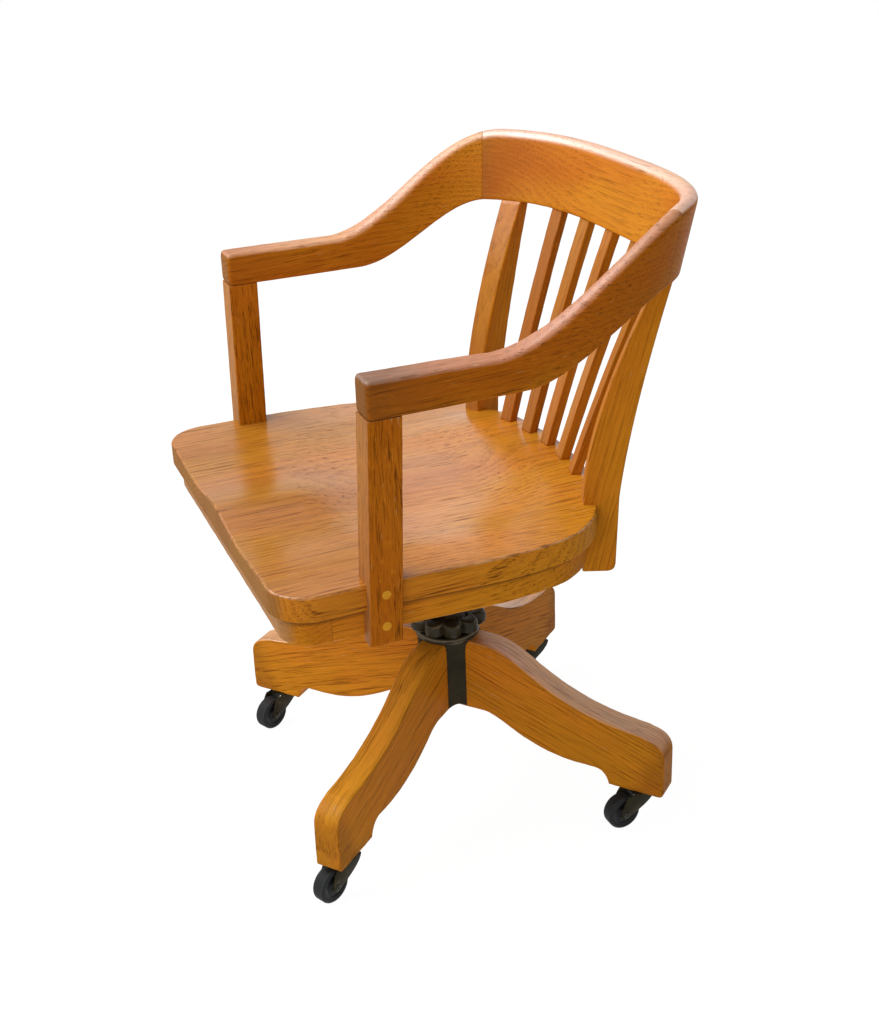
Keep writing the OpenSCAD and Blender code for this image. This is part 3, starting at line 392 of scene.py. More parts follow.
def rubber(name):
    """Black tread: dusty where it meets the floor, with fine scuffs across it, and painted highlight rings, pale grey,
    on its rounded corners.
    """
    colours = bpy.context.scene.metal_colours
    f = Finish(name)
    place = f.place()
    scuff = f.noise(place, (160, 160, 160), 4, 0.65)
    fine = f.noise(place, (900, 900, 900), 2, 0.6)
    dusty = (f.attribute("tread") * (0.35 + 1.1 * scuff)).clamped()
    base = f.mix(dusty * 0.16, rgba(colours.tread), rgba(colours.dust_and_highlight))
    base = f.mix(fine.between(0.62, 0.72) * 0.15, base, rgba(colours.dust_and_highlight))
    # Painted highlight: the wear attribute, high on the wheel's rounded corners, lightens them to pale grey as rings of
    # highlight.
    base = f.mix((f.attribute("wear") * (0.2 + scuff)).clamped() * 0.5, base, rgba(colours.dust_and_highlight))
    return f.close({"Base Color": base, "Roughness": (0.30 + 0.30 * dusty + 0.10 * scuff).clamped(),
                    "Specular IOR Level": 0.12, "Normal": f.bump(0.7 * scuff + 0.3 * fine, 0.15)})


# Surfaces

def smooth(t):
    """The smooth step 3tt - 2ttt, held to 0 and 1 outside its range."""
    u = np.clip(t, 0, 1)
    return u * u * (3 - 2 * u)


def mix(a, b, t):
    return a + (b - a) * t


def arc(centre, r, start, end, n):
    """Points on a circle, from one angle to another in degrees."""
    a = np.radians(np.linspace(start, end, n))
    return np.array(centre) + r * np.stack([np.cos(a), np.sin(a)], -1)


def bezier(points, n):
    """n points on the Bezier curve of three or four control points, at even steps of its parameter."""
    p = np.array(points, float)
    t = np.linspace(0, 1, n)[:, None]
    if len(p) == 3:
        return (1 - t) ** 2 * p[0] + 2 * t * (1 - t) * p[1] + t * t * p[2]
    return (1 - t) ** 3 * p[0] + 3 * (1 - t) ** 2 * t * p[1] + 3 * (1 - t) * t * t * p[2] + t ** 3 * p[3]


def uneven(x, seed):
    """Slow unevenness from -1 to 1 along x, in millimetres: four sine waves of 11 to 97 mm with seeded phases."""
    phase = np.random.default_rng(seed).uniform(0, 2 * math.pi, 4)
    waves = zip((0.4, 0.3, 0.2, 0.1), (97, 41, 23, 11), phase)
    return sum(a * np.sin(2 * math.pi * np.asarray(x) / w + p) for a, w, p in waves)


def shell(grid, wear=None, capped=True):
    """One closed surface from a grid of points, rows by columns: columns wrap round, and a
    middle point closes the first and the last row when capped; otherwise the rows wrap round too.
    Returns points, faces and the wear of each point."""
    rows, columns = grid.shape[:2]
    points = grid.reshape(-1, 3)
    worn = (np.zeros((rows, columns)) if wear is None else np.broadcast_to(wear, (rows, columns))).reshape(-1)
    i = np.arange(rows - 1 if capped else rows)[:, None]
    j = np.arange(columns)[None, :]
    next_i, next_j = (i + 1) % rows, (j + 1) % columns
    corners = (i * columns + j, i * columns + next_j, next_i * columns + next_j, next_i * columns + j)
    faces = np.stack(corners, -1).reshape(-1, 4).tolist()
    if capped:
        first, last = len(points), len(points) + 1
        points = np.vstack([points, grid[0].mean(0), grid[-1].mean(0)])
        worn = np.append(worn, [worn[:columns].mean(), worn[-columns:].mean()])
        k = np.arange(columns)
        end = (rows - 1) * columns
        faces += np.stack([np.full(columns, first), (k + 1) % columns, k], -1).tolist()
        faces += np.stack([np.full(columns, last), end + k, end + (k + 1) % columns], -1).tolist()
    return points, outward(points, faces), worn


def outward(points, faces):
    """The faces, all turned over when the volume that they enclose comes out negative."""
    volume = 0
    for step in (1, 2):
        rest = [f for f in faces if len(f) > step + 1]
        p, q, r = (points[[f[k] for f in rest]] for k in (0, step, step + 1))
        volume += np.einsum("ij,ij->i", p, np.cross(q, r)).sum()
    return [f[::-1] for f in faces] if volume < 0 else faces


def add_piece(name, shells, body, material, nodes, marks=None, grain=None):
    """Makes one object of closed shells, smooth shaded, in metres, riding on its body in place of its CAD nodes.
    marks are more values of its points, and grain is where each point lies in its board."""
    points, faces, wear, start = [], [], [], 0
    for part_points, part_faces, part_wear in shells:
        points.append(part_points)
        faces += [[v + start for v in face] for face in part_faces]
        wear.append(part_wear)
        start += len(part_points)
    points = np.vstack(points)
    mesh = bpy.data.meshes.new(name)
    mesh.from_pydata((points / 1000).tolist(), [], faces)

    def mark(key, kind, field, values):
        mesh.attributes.new(key, kind, "POINT").data.foreach_set(field, values.reshape(-1).astype(np.float32))

    for key, values in {"wear": np.concatenate(wear), **(marks or {})}.items():
        mark(key, "FLOAT", "value", np.clip(values, 0, 1))
    mesh.polygons.foreach_set("use_smooth", np.ones(len(faces), bool))
    mesh.update()
    facing = np.empty(3 * len(points), np.float32)
    mesh.vertices.foreach_get("normal", facing)
    mark("facing", "FLOAT_VECTOR", "vector", facing)
    if grain is not None:
        mark("grain", "FLOAT_VECTOR", "vector", grain / 1000)
    mesh.materials.append(material)
    made = bpy.data.objects.new(name, mesh)
    bpy.context.scene.collection.objects.link(made)
    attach(made, body)
    if nodes:
        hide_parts(*nodes)
    return made


def section(w, h, r_top, r_low, steps=6):
    """Rounded rectangles for many stations at once: columns go round from the lower right corner, with
    four points on each flat. w, h and the radii are one number for each station. Returns x, z and the
    share of rounding, which is 1 in the middle of a corner."""
    w, h, r_top, r_low = np.broadcast_arrays(*(np.atleast_1d(np.asarray(v, float)) for v in (w, h, r_top, r_low)))
    turn = np.linspace(0, math.pi / 2, steps + 1)
    xs, zs, worn = [], [], []
    for cx, cz, r, start in ((1, -1, r_low, -0.5), (1, 1, r_top, 0.0), (-1, 1, r_top, 0.5), (-1, -1, r_low, 1.0)):
        a = start * math.pi + turn
        xs.append((cx * (w / 2 - r))[:, None] + r[:, None] * np.cos(a))
        zs.append((cz * (h / 2 - r))[:, None] + r[:, None] * np.sin(a))
        worn.append(np.broadcast_to(np.sin(2 * turn) ** 0.7, (len(w), steps + 1)))
    flats = []
    for k in range(4):
        t = np.array([0.03, 0.25, 0.5, 0.75, 0.97])
        a, b = (xs[k][:, -1:], zs[k][:, -1:]), (xs[(k + 1) % 4][:, :1], zs[(k + 1) % 4][:, :1])
        flats.append((mix(a[0], b[0], t), mix(a[1], b[1], t), np.zeros((len(w), 5))))
    order = [part for k in range(4) for part in ((xs[k], zs[k], worn[k]), flats[k])]
    return tuple(np.concatenate([part[k] for part in order], 1) for k in range(3))


def run_in(total, start_r, end_r, count):
    """Distances along a bar with rounded ends, and how far its section is drawn in at each: r(1 - sin a)
    where the end's rounding has turned by a."""
    a = np.linspace(0, math.pi / 2, 7)
    at = [start_r * (1 - np.cos(a)), np.linspace(start_r, total - end_r, count)[1:-1],
          total - end_r * (1 - np.cos(a[::-1]))]
    inset = [start_r * (1 - np.sin(a)), np.zeros(count - 2), end_r * (1 - np.sin(a[::-1]))]
    return np.concatenate(at), np.concatenate(inset)


def bar(centre, out, up, w, h, r_top, r_low, inset=0.0, lean=0.0, seed=1, dents=0.35):
    """A rounded rectangle carried along a path: point = centre + out (x + lean z) + up z. inset draws the section in
    at the ends, and the corner radii vary by a share of slow unevenness, as worn edges do."""
    out, up = (np.broadcast_to(v, centre.shape) for v in (out, up))
    w, h, inset, lean = (np.broadcast_to(v, len(centre)) for v in (w, h, inset, lean))
    reach = np.concatenate([[0], np.cumsum(np.linalg.norm(np.diff(centre, axis=0), axis=1))])
    vary = 1 + dents * uneven(reach, seed)
    keep = np.minimum(w, h) / 2 - inset - 0.2
    x, z, worn = section(w - 2 * inset, h - 2 * inset, *(np.clip(r * vary, 0.2, keep) for r in (r_top, r_low)))
    grid = centre[:, None] + out[:, None] * (x + lean[:, None] * z)[..., None] + up[:, None] * z[..., None]
    edge = np.clip(inset / (inset.max() + 1e-9), 0, 1)[:, None] if inset.max() > 0 else 0
    return shell(grid, np.maximum(worn, 0.8 * np.sin(math.pi * np.clip(edge, 0, 1)) if inset.max() > 0 else 0))


def turned(profile, count=96, lobes=None):
    """A closed profile of radius and height turned round the Z axis; lobes, if given, multiplies each
    radius by a function of the angle and the row."""
    angle = np.linspace(0, 2 * math.pi, count, endpoint=False)
    r, z = profile[:, 0][:, None], profile[:, 1][:, None]
    if lobes is not None:
        r = lobes(r, angle[None])
    return np.stack([r * np.cos(angle), r * np.sin(angle), np.broadcast_to(z, (len(profile), count))], -1)


def rounded(corners, radius, steps=4):
    """A closed profile whose corners are cut by quadratic curves that start one radius from each corner."""
    p = np.array(corners, float)
    before, after = np.roll(p, 1, 0) - p, np.roll(p, -1, 0) - p
    lengths = [np.linalg.norm(v, axis=1, keepdims=True) for v in (before, after)]
    r = np.minimum(np.broadcast_to(np.reshape(radius, (-1, 1)), (len(p), 1)), 0.45 * np.minimum(*lengths))
    a, b = p + before / lengths[0] * r, p + after / lengths[1] * r
    t = np.linspace(0, 1, steps + 1)[None, :, None]
    curve = (1 - t) ** 2 * a[:, None] + 2 * t * (1 - t) * p[:, None] + t * t * b[:, None]
    worn = np.broadcast_to(np.sin(math.pi * t[0, :, 0]), curve.shape[:2])
    return curve.reshape(-1, 2), worn.reshape(-1)


def moved(grid, at=(0, 0, 0), turn=0.0):
    """Points turned about Z by degrees, then shifted."""
    c, s = math.cos(math.radians(turn)), math.sin(math.radians(turn))
    x, y, z = grid[..., 0], grid[..., 1], grid[..., 2]
    return np.stack([c * x - s * y + at[0], s * x + c * y + at[1], z + at[2]], -1)


# Seat

def seat_outline(s):
    """The seat's outline as points and outward directions, counter-clockwise from the front's middle: straight
    front, corner arc, straight side, slow side arc, rear corner arc and the arc behind the slats, then mirrored."""
    def arc(centre, r, a0, a1, n):
        a = np.radians(np.linspace(a0, a1, n))
        direction = np.stack([np.cos(a), np.sin(a)], -1)
        return np.array(centre) + r * direction, direction
    w, front = s.seat_half_w, s.seat_front
    lean = np.radians(12.8)
    rear = np.array([w - 565, -85]) + (565 - 138) * np.array([math.cos(lean), math.sin(lean)])
    x = np.linspace(0, w - 50, 34)
    y = np.linspace(50 - front, -85, 26)[1:-1]
    parts = [
        (np.stack([x, np.full(34, -front)], -1), np.tile([0.0, -1.0], (34, 1))),
        arc([w - 50, 50 - front], 50, -88, 0, 22),
        (np.stack([np.full(24, w), y], -1), np.tile([1.0, 0.0], (24, 1))),
        arc([w - 565, -85], 565, 0, 12.8, 22), arc(rear, 138, 14.5, 61.6, 34)]
    back = arc([0, 152.5 - 465], 489, 90 - 17.9, 89.5, 34)
    t = np.linspace(0, 1, 7)[1:-1, None]
    parts += [(mix(parts[-1][0][-1], back[0][0], t), mix(parts[-1][1][-1], back[1][0], t)), back]
    points, normals = (np.vstack([p[k] for p in parts]) for k in (0, 1))
    flip = np.array([-1, 1])
    return np.vstack([points, points[:0:-1] * flip]), np.vstack([normals, normals[:0:-1] * flip])


def edge_fall(s, y):
    """How far the seat's edge has fallen at y: a smooth step from 200 in front of the axis to 120 behind it."""
    return s.rear_fall * smooth((y + 200) / 320)


def rim_fall(s, x, y):
    """The fall of the rim, which is only a third in the middle of the back."""
    return edge_fall(s, y) * mix(1 / 3, 1, smooth((np.abs(x) - 112) / 70))


def saddle(s, x, y):
    """Height of the seat's top over its rim: a ridge between two thigh hollows that fade towards the back, less
    a superelliptic scoop and the fall of the rim."""
    front = 1 - smooth((y + 260) / 230)
    thigh = s.thigh_depth * np.exp(-((np.abs(x) - 115) / 70) ** 2) * front
    ridge = s.ridge_h * np.exp(-(x / 45) ** 2) * front
    q = ((np.abs(x) / 222) ** 2.6 + (np.abs(y + 38) / 170) ** 2.6) ** (1 / 2.6)
    scoop = s.scoop_depth * (1 - smooth((q - 0.35) / 0.65))
    return ridge - thigh - scoop - rim_fall(s, x, y)


class CHAIR_OT_seat(bpy.types.Operator):
    """Adds the saddled seat board: rings of its outline drawn in to the scoop, a worn top edge, and the underside"""
    bl_idname = "chair.seat"
    bl_label = "Seat board"

    def execute(self, context):
        s = chair_sizes()
        rim, normal = seat_outline(s)
        centre = np.array([0, -38.0])
        run = np.concatenate([[0], np.cumsum(np.linalg.norm(np.diff(rim, axis=0), axis=1))])
        top_r = (3.4 * (1 + 0.30 * uneven(run, 3)))[:, None]
        low_r = 1.8
        rows, heights, worn = [], [], []
        edge = rim - normal * top_r
        for k in np.concatenate([np.linspace(0.02, 0.93, 44), [0.965, 0.985, 0.997]]):
            q = centre + k * (edge - centre)
            rows.append(q), heights.append(s.seat_top + saddle(s, q[:, 0], q[:, 1])), worn.append(0 * run)
        level = s.seat_top + saddle(s, rim[:, 0], rim[:, 1])
        for a in np.linspace(0, math.pi / 2, 9):
            rows.append(edge + normal * top_r * math.sin(a))
            heights.append(level - top_r[:, 0] * (1 - math.cos(a)))
            worn.append(0 * run + math.sin(2 * a) ** 0.6 if a > 0 else 0 * run)
        bed = 0 * run + s.seat_top - s.seat_t
        low = bed - rim_fall(s, rim[:, 0], rim[:, 1])
        for t in (0.06, 0.3, 0.5, 0.7, 0.94):
            rows.append(rim), heights.append(mix(level - top_r[:, 0], low + low_r, t)), worn.append(0 * run)
        for a in np.linspace(0, math.pi / 2, 5):
            rows.append(rim - normal * low_r * (1 - math.cos(a)))
            heights.append(low + low_r * (1 - math.sin(a)))
            worn.append(0 * run + 0.9 * math.sin(2 * a))
        for inset, level in ((3, low), (s.rail_setback - 2, low), (s.rail_setback - 0.3, bed), (s.rail_setback + 1, bed)):
            rows.append(rim - normal * inset), heights.append(level), worn.append(0 * run)
        for k in (0.8, 0.4, 0.05):
            rows.append(centre + k * (rim - centre)), heights.append(bed), worn.append(0 * run)
        grid = np.stack([np.concatenate([r, h[:, None]], 1) for r, h in zip(rows, heights)])
        wood = oak("seat", (0, 1, 0), shift=(0.03, 0, -0.37), tone=-0.08, gloss=1.1,
                   seams=((0, -170), (0, -62), (0, 70), (0, 176)), end_axis=1, soil=(1, 0, -230, 0.34), edges=1.0,
                   sheen=1.95, figure=0.7, polish=0.24, bright=0.12, ends=0.7)
        add_piece("seat_board", [shell(grid, np.stack(worn))], "seat", wood, ["seat_board"])
        return {"FINISHED"}


class CHAIR_OT_rails(bpy.types.Operator):
    """Adds the rails under the seat: a bar carried along the outline drawn in, cut at its joints"""
    bl_idname = "chair.rails"
    bl_label = "Rails"

    def execute(self, context):
        s = chair_sizes()
        rim, normal = seat_outline(s)
        path = rim - normal * (s.rail_setback + s.rail_t / 2)
        steps = np.linalg.norm(np.roll(path, -1, 0) - path, axis=1)
        run, whole = np.concatenate([[0], np.cumsum(steps)[:-1]]), steps.sum()
        half = run < whole / 2
        side = half & (rim[:, 0] > s.seat_half_w - 0.01)
        joint = np.interp(-246, rim[side, 1], run[side])
        heel, inner = (run[half & (rim[:, 1] > 100) & (rim[:, 0] < x)][0] for x in (178, 166))

        def rail(name, start, end, seed, along, tone, front=0.0):
            at, inset = run_in(end - start, 0.5, 0.5, 120)
            line, out = (np.stack([np.interp(start + at, run, v[:, k], period=whole) for k in (0, 1)], -1)
                         for v in (path, normal))
            out /= np.linalg.norm(out, axis=1, keepdims=True)
            tall = s.rail_h + edge_fall(s, line[:, 1])
            centre = np.concatenate([line, (s.seat_top - s.seat_t - tall / 2)[:, None]], 1)
            piece = bar(centre, np.concatenate([out, np.zeros((len(out), 1))], 1), UP, s.rail_t, tall, 0.6, 2.6, inset,
                        seed=seed)
            # under paints shade on the rail just below the seat board.
            wood = oak(name, along, shift=(0.02 * seed, 0.05, 0.07), tone=tone, gloss=0.9,
                       under=s.seat_top - s.seat_t, front=front)
            add_piece(name, [piece], "seat", wood, [name])

        rail("front_rail", 0.1 - joint, joint - 0.1, 5, (1, 0, 0), 0.02, front=0.6)
        rail("side_rail_left", joint + 0.1, heel, 6, (0, 1, 0), -0.08)
        rail("side_rail_right", whole - heel, whole - joint - 0.1, 7, (0, 1, 0), -0.08)
        rail("back_rail", inner, whole - inner, 8, (1, 0, 0), 0.06)
        return {"FINISHED"}


def post_shift(z, seat_top):
    """How far a post has leant out and back at a height."""
    return (z - seat_top) * math.tan(POST_LEAN_OUT), (z - seat_top) * math.tan(POST_LEAN_BACK)


class CHAIR_OT_posts(bpy.types.Operator):
    """Adds the arm posts, leaning bars cut back under the seat, and the plugs over their screws"""
    bl_idname = "chair.posts"
    bl_label = "Arm posts"

    def execute(self, context):
        s = chair_sizes()
        low, high = s.seat_top - 76, s.arm_bottom
        at, inset = run_in(high - low, s.worn_edge, 0.5, 90)
        z = np.sort(np.concatenate([low + at, [s.seat_top - 12, s.seat_top - 11.9]]))
        inset = np.interp(z, low + at, inset)
        dx, dy = post_shift(z, s.seat_top)
        outer = s.seat_half_w + POST_PROUD + dx
        inner = np.where(z < s.seat_top - 11.95, 264.5, outer - s.post_w)
        centre = np.stack([(outer + inner) / 2, s.post_d / 2 + POST_FRONT + dy, z], -1)
        for side, seed in ((1, 11), (-1, 12)):
            name = "front_post_" + ("left" if side > 0 else "right")
            mirror = np.array([side, 1, 1])
            piece = bar(centre * mirror, (0, -1.0, 0), (side, 0, 0.0), s.post_d, outer - inner, s.worn_edge, s.worn_edge,
                        inset, seed=seed)
            # Painted shade: both posts are darker by their tone than the other oak, the +X post most, standing in for
            # the shade on their +X sides.
            wood = oak(name, (0, -0.03, 1), shift=(-0.245 * side, 0.155, 0.1 * side),
                       tone=0.19 if side > 0 else 0.16, gloss=0.85, end_axis=2, edges=0.8, figure=0.85, polish=0.3,
                       front=0.4)
            add_piece(name, [piece], "seat", wood, [name])
        plugs = []
        for side in (1, -1):
            for drop in (-11, -s.seat_t - 0.55 * s.rail_h):
                profile, worn = rounded([[0.05, -6], [5.5, -6], [5.5, 0.25], [0.05, 0.42]], [0.1, 0.3, 0.5, 0.1])
                grid = turned(profile, 32)
                px, py = post_shift(s.seat_top + drop, s.seat_top)
                along = np.array([math.cos(POST_LEAN_OUT), 0, -math.sin(POST_LEAN_OUT)])
                across = np.array([math.sin(POST_LEAN_OUT), 0, math.cos(POST_LEAN_OUT)])
                base = np.array([s.seat_half_w + POST_PROUD + px, s.post_d / 2 + POST_FRONT + py, s.seat_top + drop])
                placed = base + grid[..., 2:] * along + grid[..., :1] * across + grid[..., 1:2] * np.array([0, 1, 0])
                plugs.append(shell(placed * np.array([side, 1, 1]), worn[:, None] * 0.8, capped=False))
        wood = oak("plug", (0, 1, 0), shift=(0, 0.02, 0), tone=-0.6, gloss=0.9, edges=0.3, bright=3.0, figure=0.1)
        add_piece("post_plugs", plugs, "seat", wood, ["post_plugs"])
        return {"FINISHED"}


# Bow of arms and crest

def bow_line(s):
    """The bow's middle line in plan from one arm's front to the middle of the crest: a straight run, then a
    quarter superellipse. Returns the run, the points, and the run at the seam between arm and crest."""
    dx, dy = post_shift(s.arm_bottom, s.seat_top)
    front = np.array([s.seat_half_w + 11.5 + dx - s.arm_w / 2, dy - 206])
    t = np.linspace(0, 1, 60)[:-1, None]
    straight = mix(front, np.array([278.5, 59.0]), t)
    a = np.linspace(0, math.pi / 2, 500)
    e = 2 / 2.9
    curve = np.stack([278.5 * np.clip(np.cos(a), 0, 1) ** e, 59 + 209 * np.sin(a) ** e], -1)
    line = np.vstack([straight, curve])
    run = np.concatenate([[0], np.cumsum(np.linalg.norm(np.diff(line, axis=0), axis=1))])
    return run, line, np.interp(90 * 7 / 22, np.degrees(a), run[len(straight):])


def bow_form(s, run):
    """The bow's top, underside, share of thinning and lean at runs along it."""
    top = mix(s.arm_bottom + s.arm_h, s.crest_bottom + s.crest_h, smooth((run - 150) / 265))
    low = mix(s.arm_bottom, s.crest_bottom, smooth((run - 190) / 205))
    return top, low, smooth((run - 60) / 340), 0.207 * smooth(run / 430)


def bow_bar(s, at, inset, seed):
    """The bar of arms and crest at runs along the bow, mirrored where a run passes the middle: its top and
    underside rise on smooth steps, it thins from arm to crest, and it leans back towards the crest."""
    run, line, _ = bow_line(s)
    far = at > run[-1]
    half = np.where(far, 2 * run[-1] - at, at)
    point = np.stack([np.interp(half, run, line[:, k]) for k in (0, 1)], -1)
    ahead, behind = (np.stack([np.interp(np.clip(half + d, 0, run[-1]), run, line[:, k]) for k in (0, 1)], -1)
                     for d in (1.5, -1.5))
    along = ahead - behind
    along[half > run[-1] - 1.5, 1] = 0
    along /= np.linalg.norm(along, axis=1, keepdims=True)
    out = np.stack([along[:, 1], -along[:, 0]], -1)
    point[far, 0] *= -1
    out[far, 0] *= -1
    top, low, thin, lean = bow_form(s, half)
    centre = np.concatenate([point, ((top + low) / 2)[:, None]], 1)
    outward_3d = np.concatenate([out, np.zeros((len(out), 1))], 1)
    return bar(centre, outward_3d, UP, mix(s.arm_w, s.crest_t, thin), top - low,
               mix(6, 12, thin) + 4 * np.clip(1 - ((half - 300) / 150) ** 2, 0, 1), 3.0, inset, lean, seed, dents=0.14)


class CHAIR_OT_bow(bpy.types.Operator):
    """Adds the two arms and the crest rail, one bar carried along the bow and cut at its seams"""
    bl_idname = "chair.bow"
    bl_label = "Arms and crest"

    def execute(self, context):
        s = chair_sizes()
        run, _, seam = bow_line(s)
        at, inset = run_in(seam - 0.15, 5.5, 0.5, 170)
        for side, name in ((1, "arm_left"), (-1, "arm_right")):
            points, faces, wear = bow_bar(s, at, inset, 21 if side > 0 else 22)
            points = points * np.array([side, 1, 1])
            # Painted shade: the +X arm is a darker copy of the -X arm by its tone, standing in for the shade on its +X
            # faces.
            wood = oak(name, (0, 1, 0.04), shift=(-0.25 * side, 0, -0.66), tone=0.19 if side > 0 else 0.0, gloss=1.1,
                       end_axis=1, edges=0.65, sheen=2.3 if side > 0 else 2.7, figure=0.52, polish=0.56, ends=0.65,
                       soil=(1, -60, -216, 0.85 if side > 0 else 0.25))
            add_piece(name, [(points, outward(points, faces), wear)], "seat", wood, [name])
        at, inset = run_in(2 * (run[-1] - seam) - 0.3, 0.5, 0.5, 240)
        wood = oak("crest", (1, 0, 0), shift=(0, -0.18, -0.75), tone=0.02, gloss=1.45, end_axis=0, edges=0.3,
                   sheen=4.0, figure=0.32, polish=0.56)
        add_piece("crest_rail", [bow_bar(s, seam + 0.15 + at, inset, 23)], "seat", wood, ["crest_rail"])
        return {"FINISHED"}


class CHAIR_OT_back(bpy.types.Operator):
    """Adds the five slats and the two stiles: level sections whose fronts follow Bezier curves up to the crest"""
    bl_idname = "chair.back"
    bl_label = "Slats and stiles"

    def execute(self, context):
        s = chair_sizes()
        rise = s.crest_bottom - s.seat_top
        run, line, _ = bow_line(s)
        top, low, thin, lean = bow_form(s, run)
        way = np.gradient(line, run, axis=0)
        out = np.stack([way[:, 1], -way[:, 0]], -1)
        inner = line - out * (mix(s.arm_w, s.crest_t, thin) / 2 + lean * (top - low) / 2)[:, None]
        for k in range(-2, 3):
            a = math.radians(6.2 * k)
            foot = np.array([465 * math.sin(a), 152.5 - 465 + 465 * math.cos(a)])
            head_x = abs(foot[0]) * 1.32
            head = np.array([np.sign(k) * head_x, np.interp(head_x, inner[::-1, 0], inner[::-1, 1]) + 3])
            way_out = (head - foot) / np.linalg.norm(head - foot)
            far = np.linalg.norm(head - foot)
            curve = bezier([[0, 0], [far / 2 - 6, rise / 2], [far, rise]], 60)
            curve = np.vstack([[[-1.5, -5]], curve, [[far + 0.2, rise + 1.5]]])
            centre = np.concatenate([foot + (curve[:, :1] + s.slat_t / 2) * way_out, s.seat_top + curve[:, 1:]], 1)
            piece = bar(centre, (-way_out[1], way_out[0], 0), (*way_out, 0.0), s.slat_w, s.slat_t, 1.4, 1.6, seed=30 + k)
            name = f"slat_{k + 3}"
            wood = oak(name, (*(far * way_out), rise), shift=(0.03 * k, 0.02, 0.11 * k),
                       tone=0.10 - 0.02 * k, gloss=0.95, edges=0.5, figure=0.35, front=0.3)
            add_piece(name, [piece], "seat", wood, [name])
        turn = math.radians(23.5)
        lay, across = np.array([math.sin(turn), math.cos(turn)]), np.array([-math.cos(turn), math.sin(turn)])
        t = np.linspace(0, 1, 70)
        low = np.linspace(0, 1, 12)[:-1]
        fore = np.concatenate([0 * low, 2 * t * (1 - t) * 4 + t * t * 88])
        aft = np.concatenate([np.full(len(low), 42.0), (1 - t) ** 2 * 46 + 2 * t * (1 - t) * 58 + t * t * 106])
        below, heel_r = 104, 8
        aft[:len(low)] += 4 * low
        up = 2 * t * (1 - t) * 0.38 + t * t
        z = np.concatenate([s.seat_top - below + low * below, s.seat_top + up * (rise + 1.0)])
        extra = np.array([0, 0.8, 2.5, 4.5])
        z = np.concatenate([z[0] + extra, z[1:]])
        heel = 42 - heel_r * (1 - np.sqrt(np.clip(1 - (1 - extra / heel_r) ** 2, 0, 1)))
        aft = np.concatenate([heel, aft[1:]])
        fore = np.concatenate([0 * extra, fore[1:]])
        thick = mix(26, 32, np.clip((z - s.seat_top) / rise, 0, 1))
        skew = 6 * np.clip((z - s.seat_top) / rise, 0, 1) ** 0.6
        skew[z < s.seat_top] = 0
        n = len(z)
        a, b, worn = section(aft - fore, thick, 2.4 * (1 + 0.3 * uneven(z, 41)), 2.4)
        along = fore[:, None] + (a + ((aft - fore) / 2)[:, None]) + skew[:, None] * (b / thick[:, None] + 0.5)
        over = b + thick[:, None] / 2
        plan = np.array([184.5, 115.5]) + along[..., None] * lay + over[..., None] * across
        grid = np.concatenate([plan, np.broadcast_to(z[:, None, None], (n, plan.shape[1], 1))], -1)
        for side, name in ((1, "back_stile_left"), (-1, "back_stile_right")):
            wood = oak(name, (70 * side * lay[0], 70 * lay[1], rise),
                       shift=(-0.2 * side, -0.1, 0.05 * side), tone=0.05, gloss=0.9, end_axis=2, edges=0.5, figure=0.35,
                       front=0.3)
            add_piece(name, [shell(grid * np.array([side, 1, 1]), worn)], "seat", wood, [name])
        return {"FINISHED"}


# Base

def leg_curves(s):
    """The upper and the lower edge of a leg, away from the axis and up, at matched stations: by distance from the
    axis up to the sole, and by even steps along each edge over the foot."""
    end = s.leg_reach
    top = np.vstack([[[24.5, 228]], bezier([[62, 228], [128, 226], [145, 158], [end - 32, 146]], 90),
                     bezier([[end - 30, 145], [end - 9, 141], [end, 133], [end, 115]], 30), [[end, 62]],
                     arc((end - 6, 62), 6, -8, -45, 6)])
    low = np.vstack([[[24.5, 121], [62, 121]], bezier([[62, 121], [95, 121], [120, 80], [end - 125, 77]], 60)[1:],
                     bezier([[end - 100, 77], [end - 83, 77], [end - 78, 56]], 24), [[end - 6, 56]],
                     arc((end - 6, 62), 6, -82, -45, 6)])
    x = np.concatenate([np.linspace(24.5, end - 102, 70), np.linspace(end - 100, end - 79, 16)])

    def sampled(curve):
        run = np.concatenate([[0], np.cumsum(np.linalg.norm(np.diff(curve, axis=0), axis=1))])
        k = curve[:, 0].argmax()
        first = np.stack([x, np.interp(x, curve[:k, 0], curve[:k, 1])], -1)
        start = np.interp(end - 78, curve[:k, 0], run[:k])
        rest = np.linspace(start, run[-1], 70)
        return np.vstack([first, np.stack([np.interp(rest, run, curve[:, j]) for j in (0, 1)], -1)])

    return sampled(top), sampled(low)


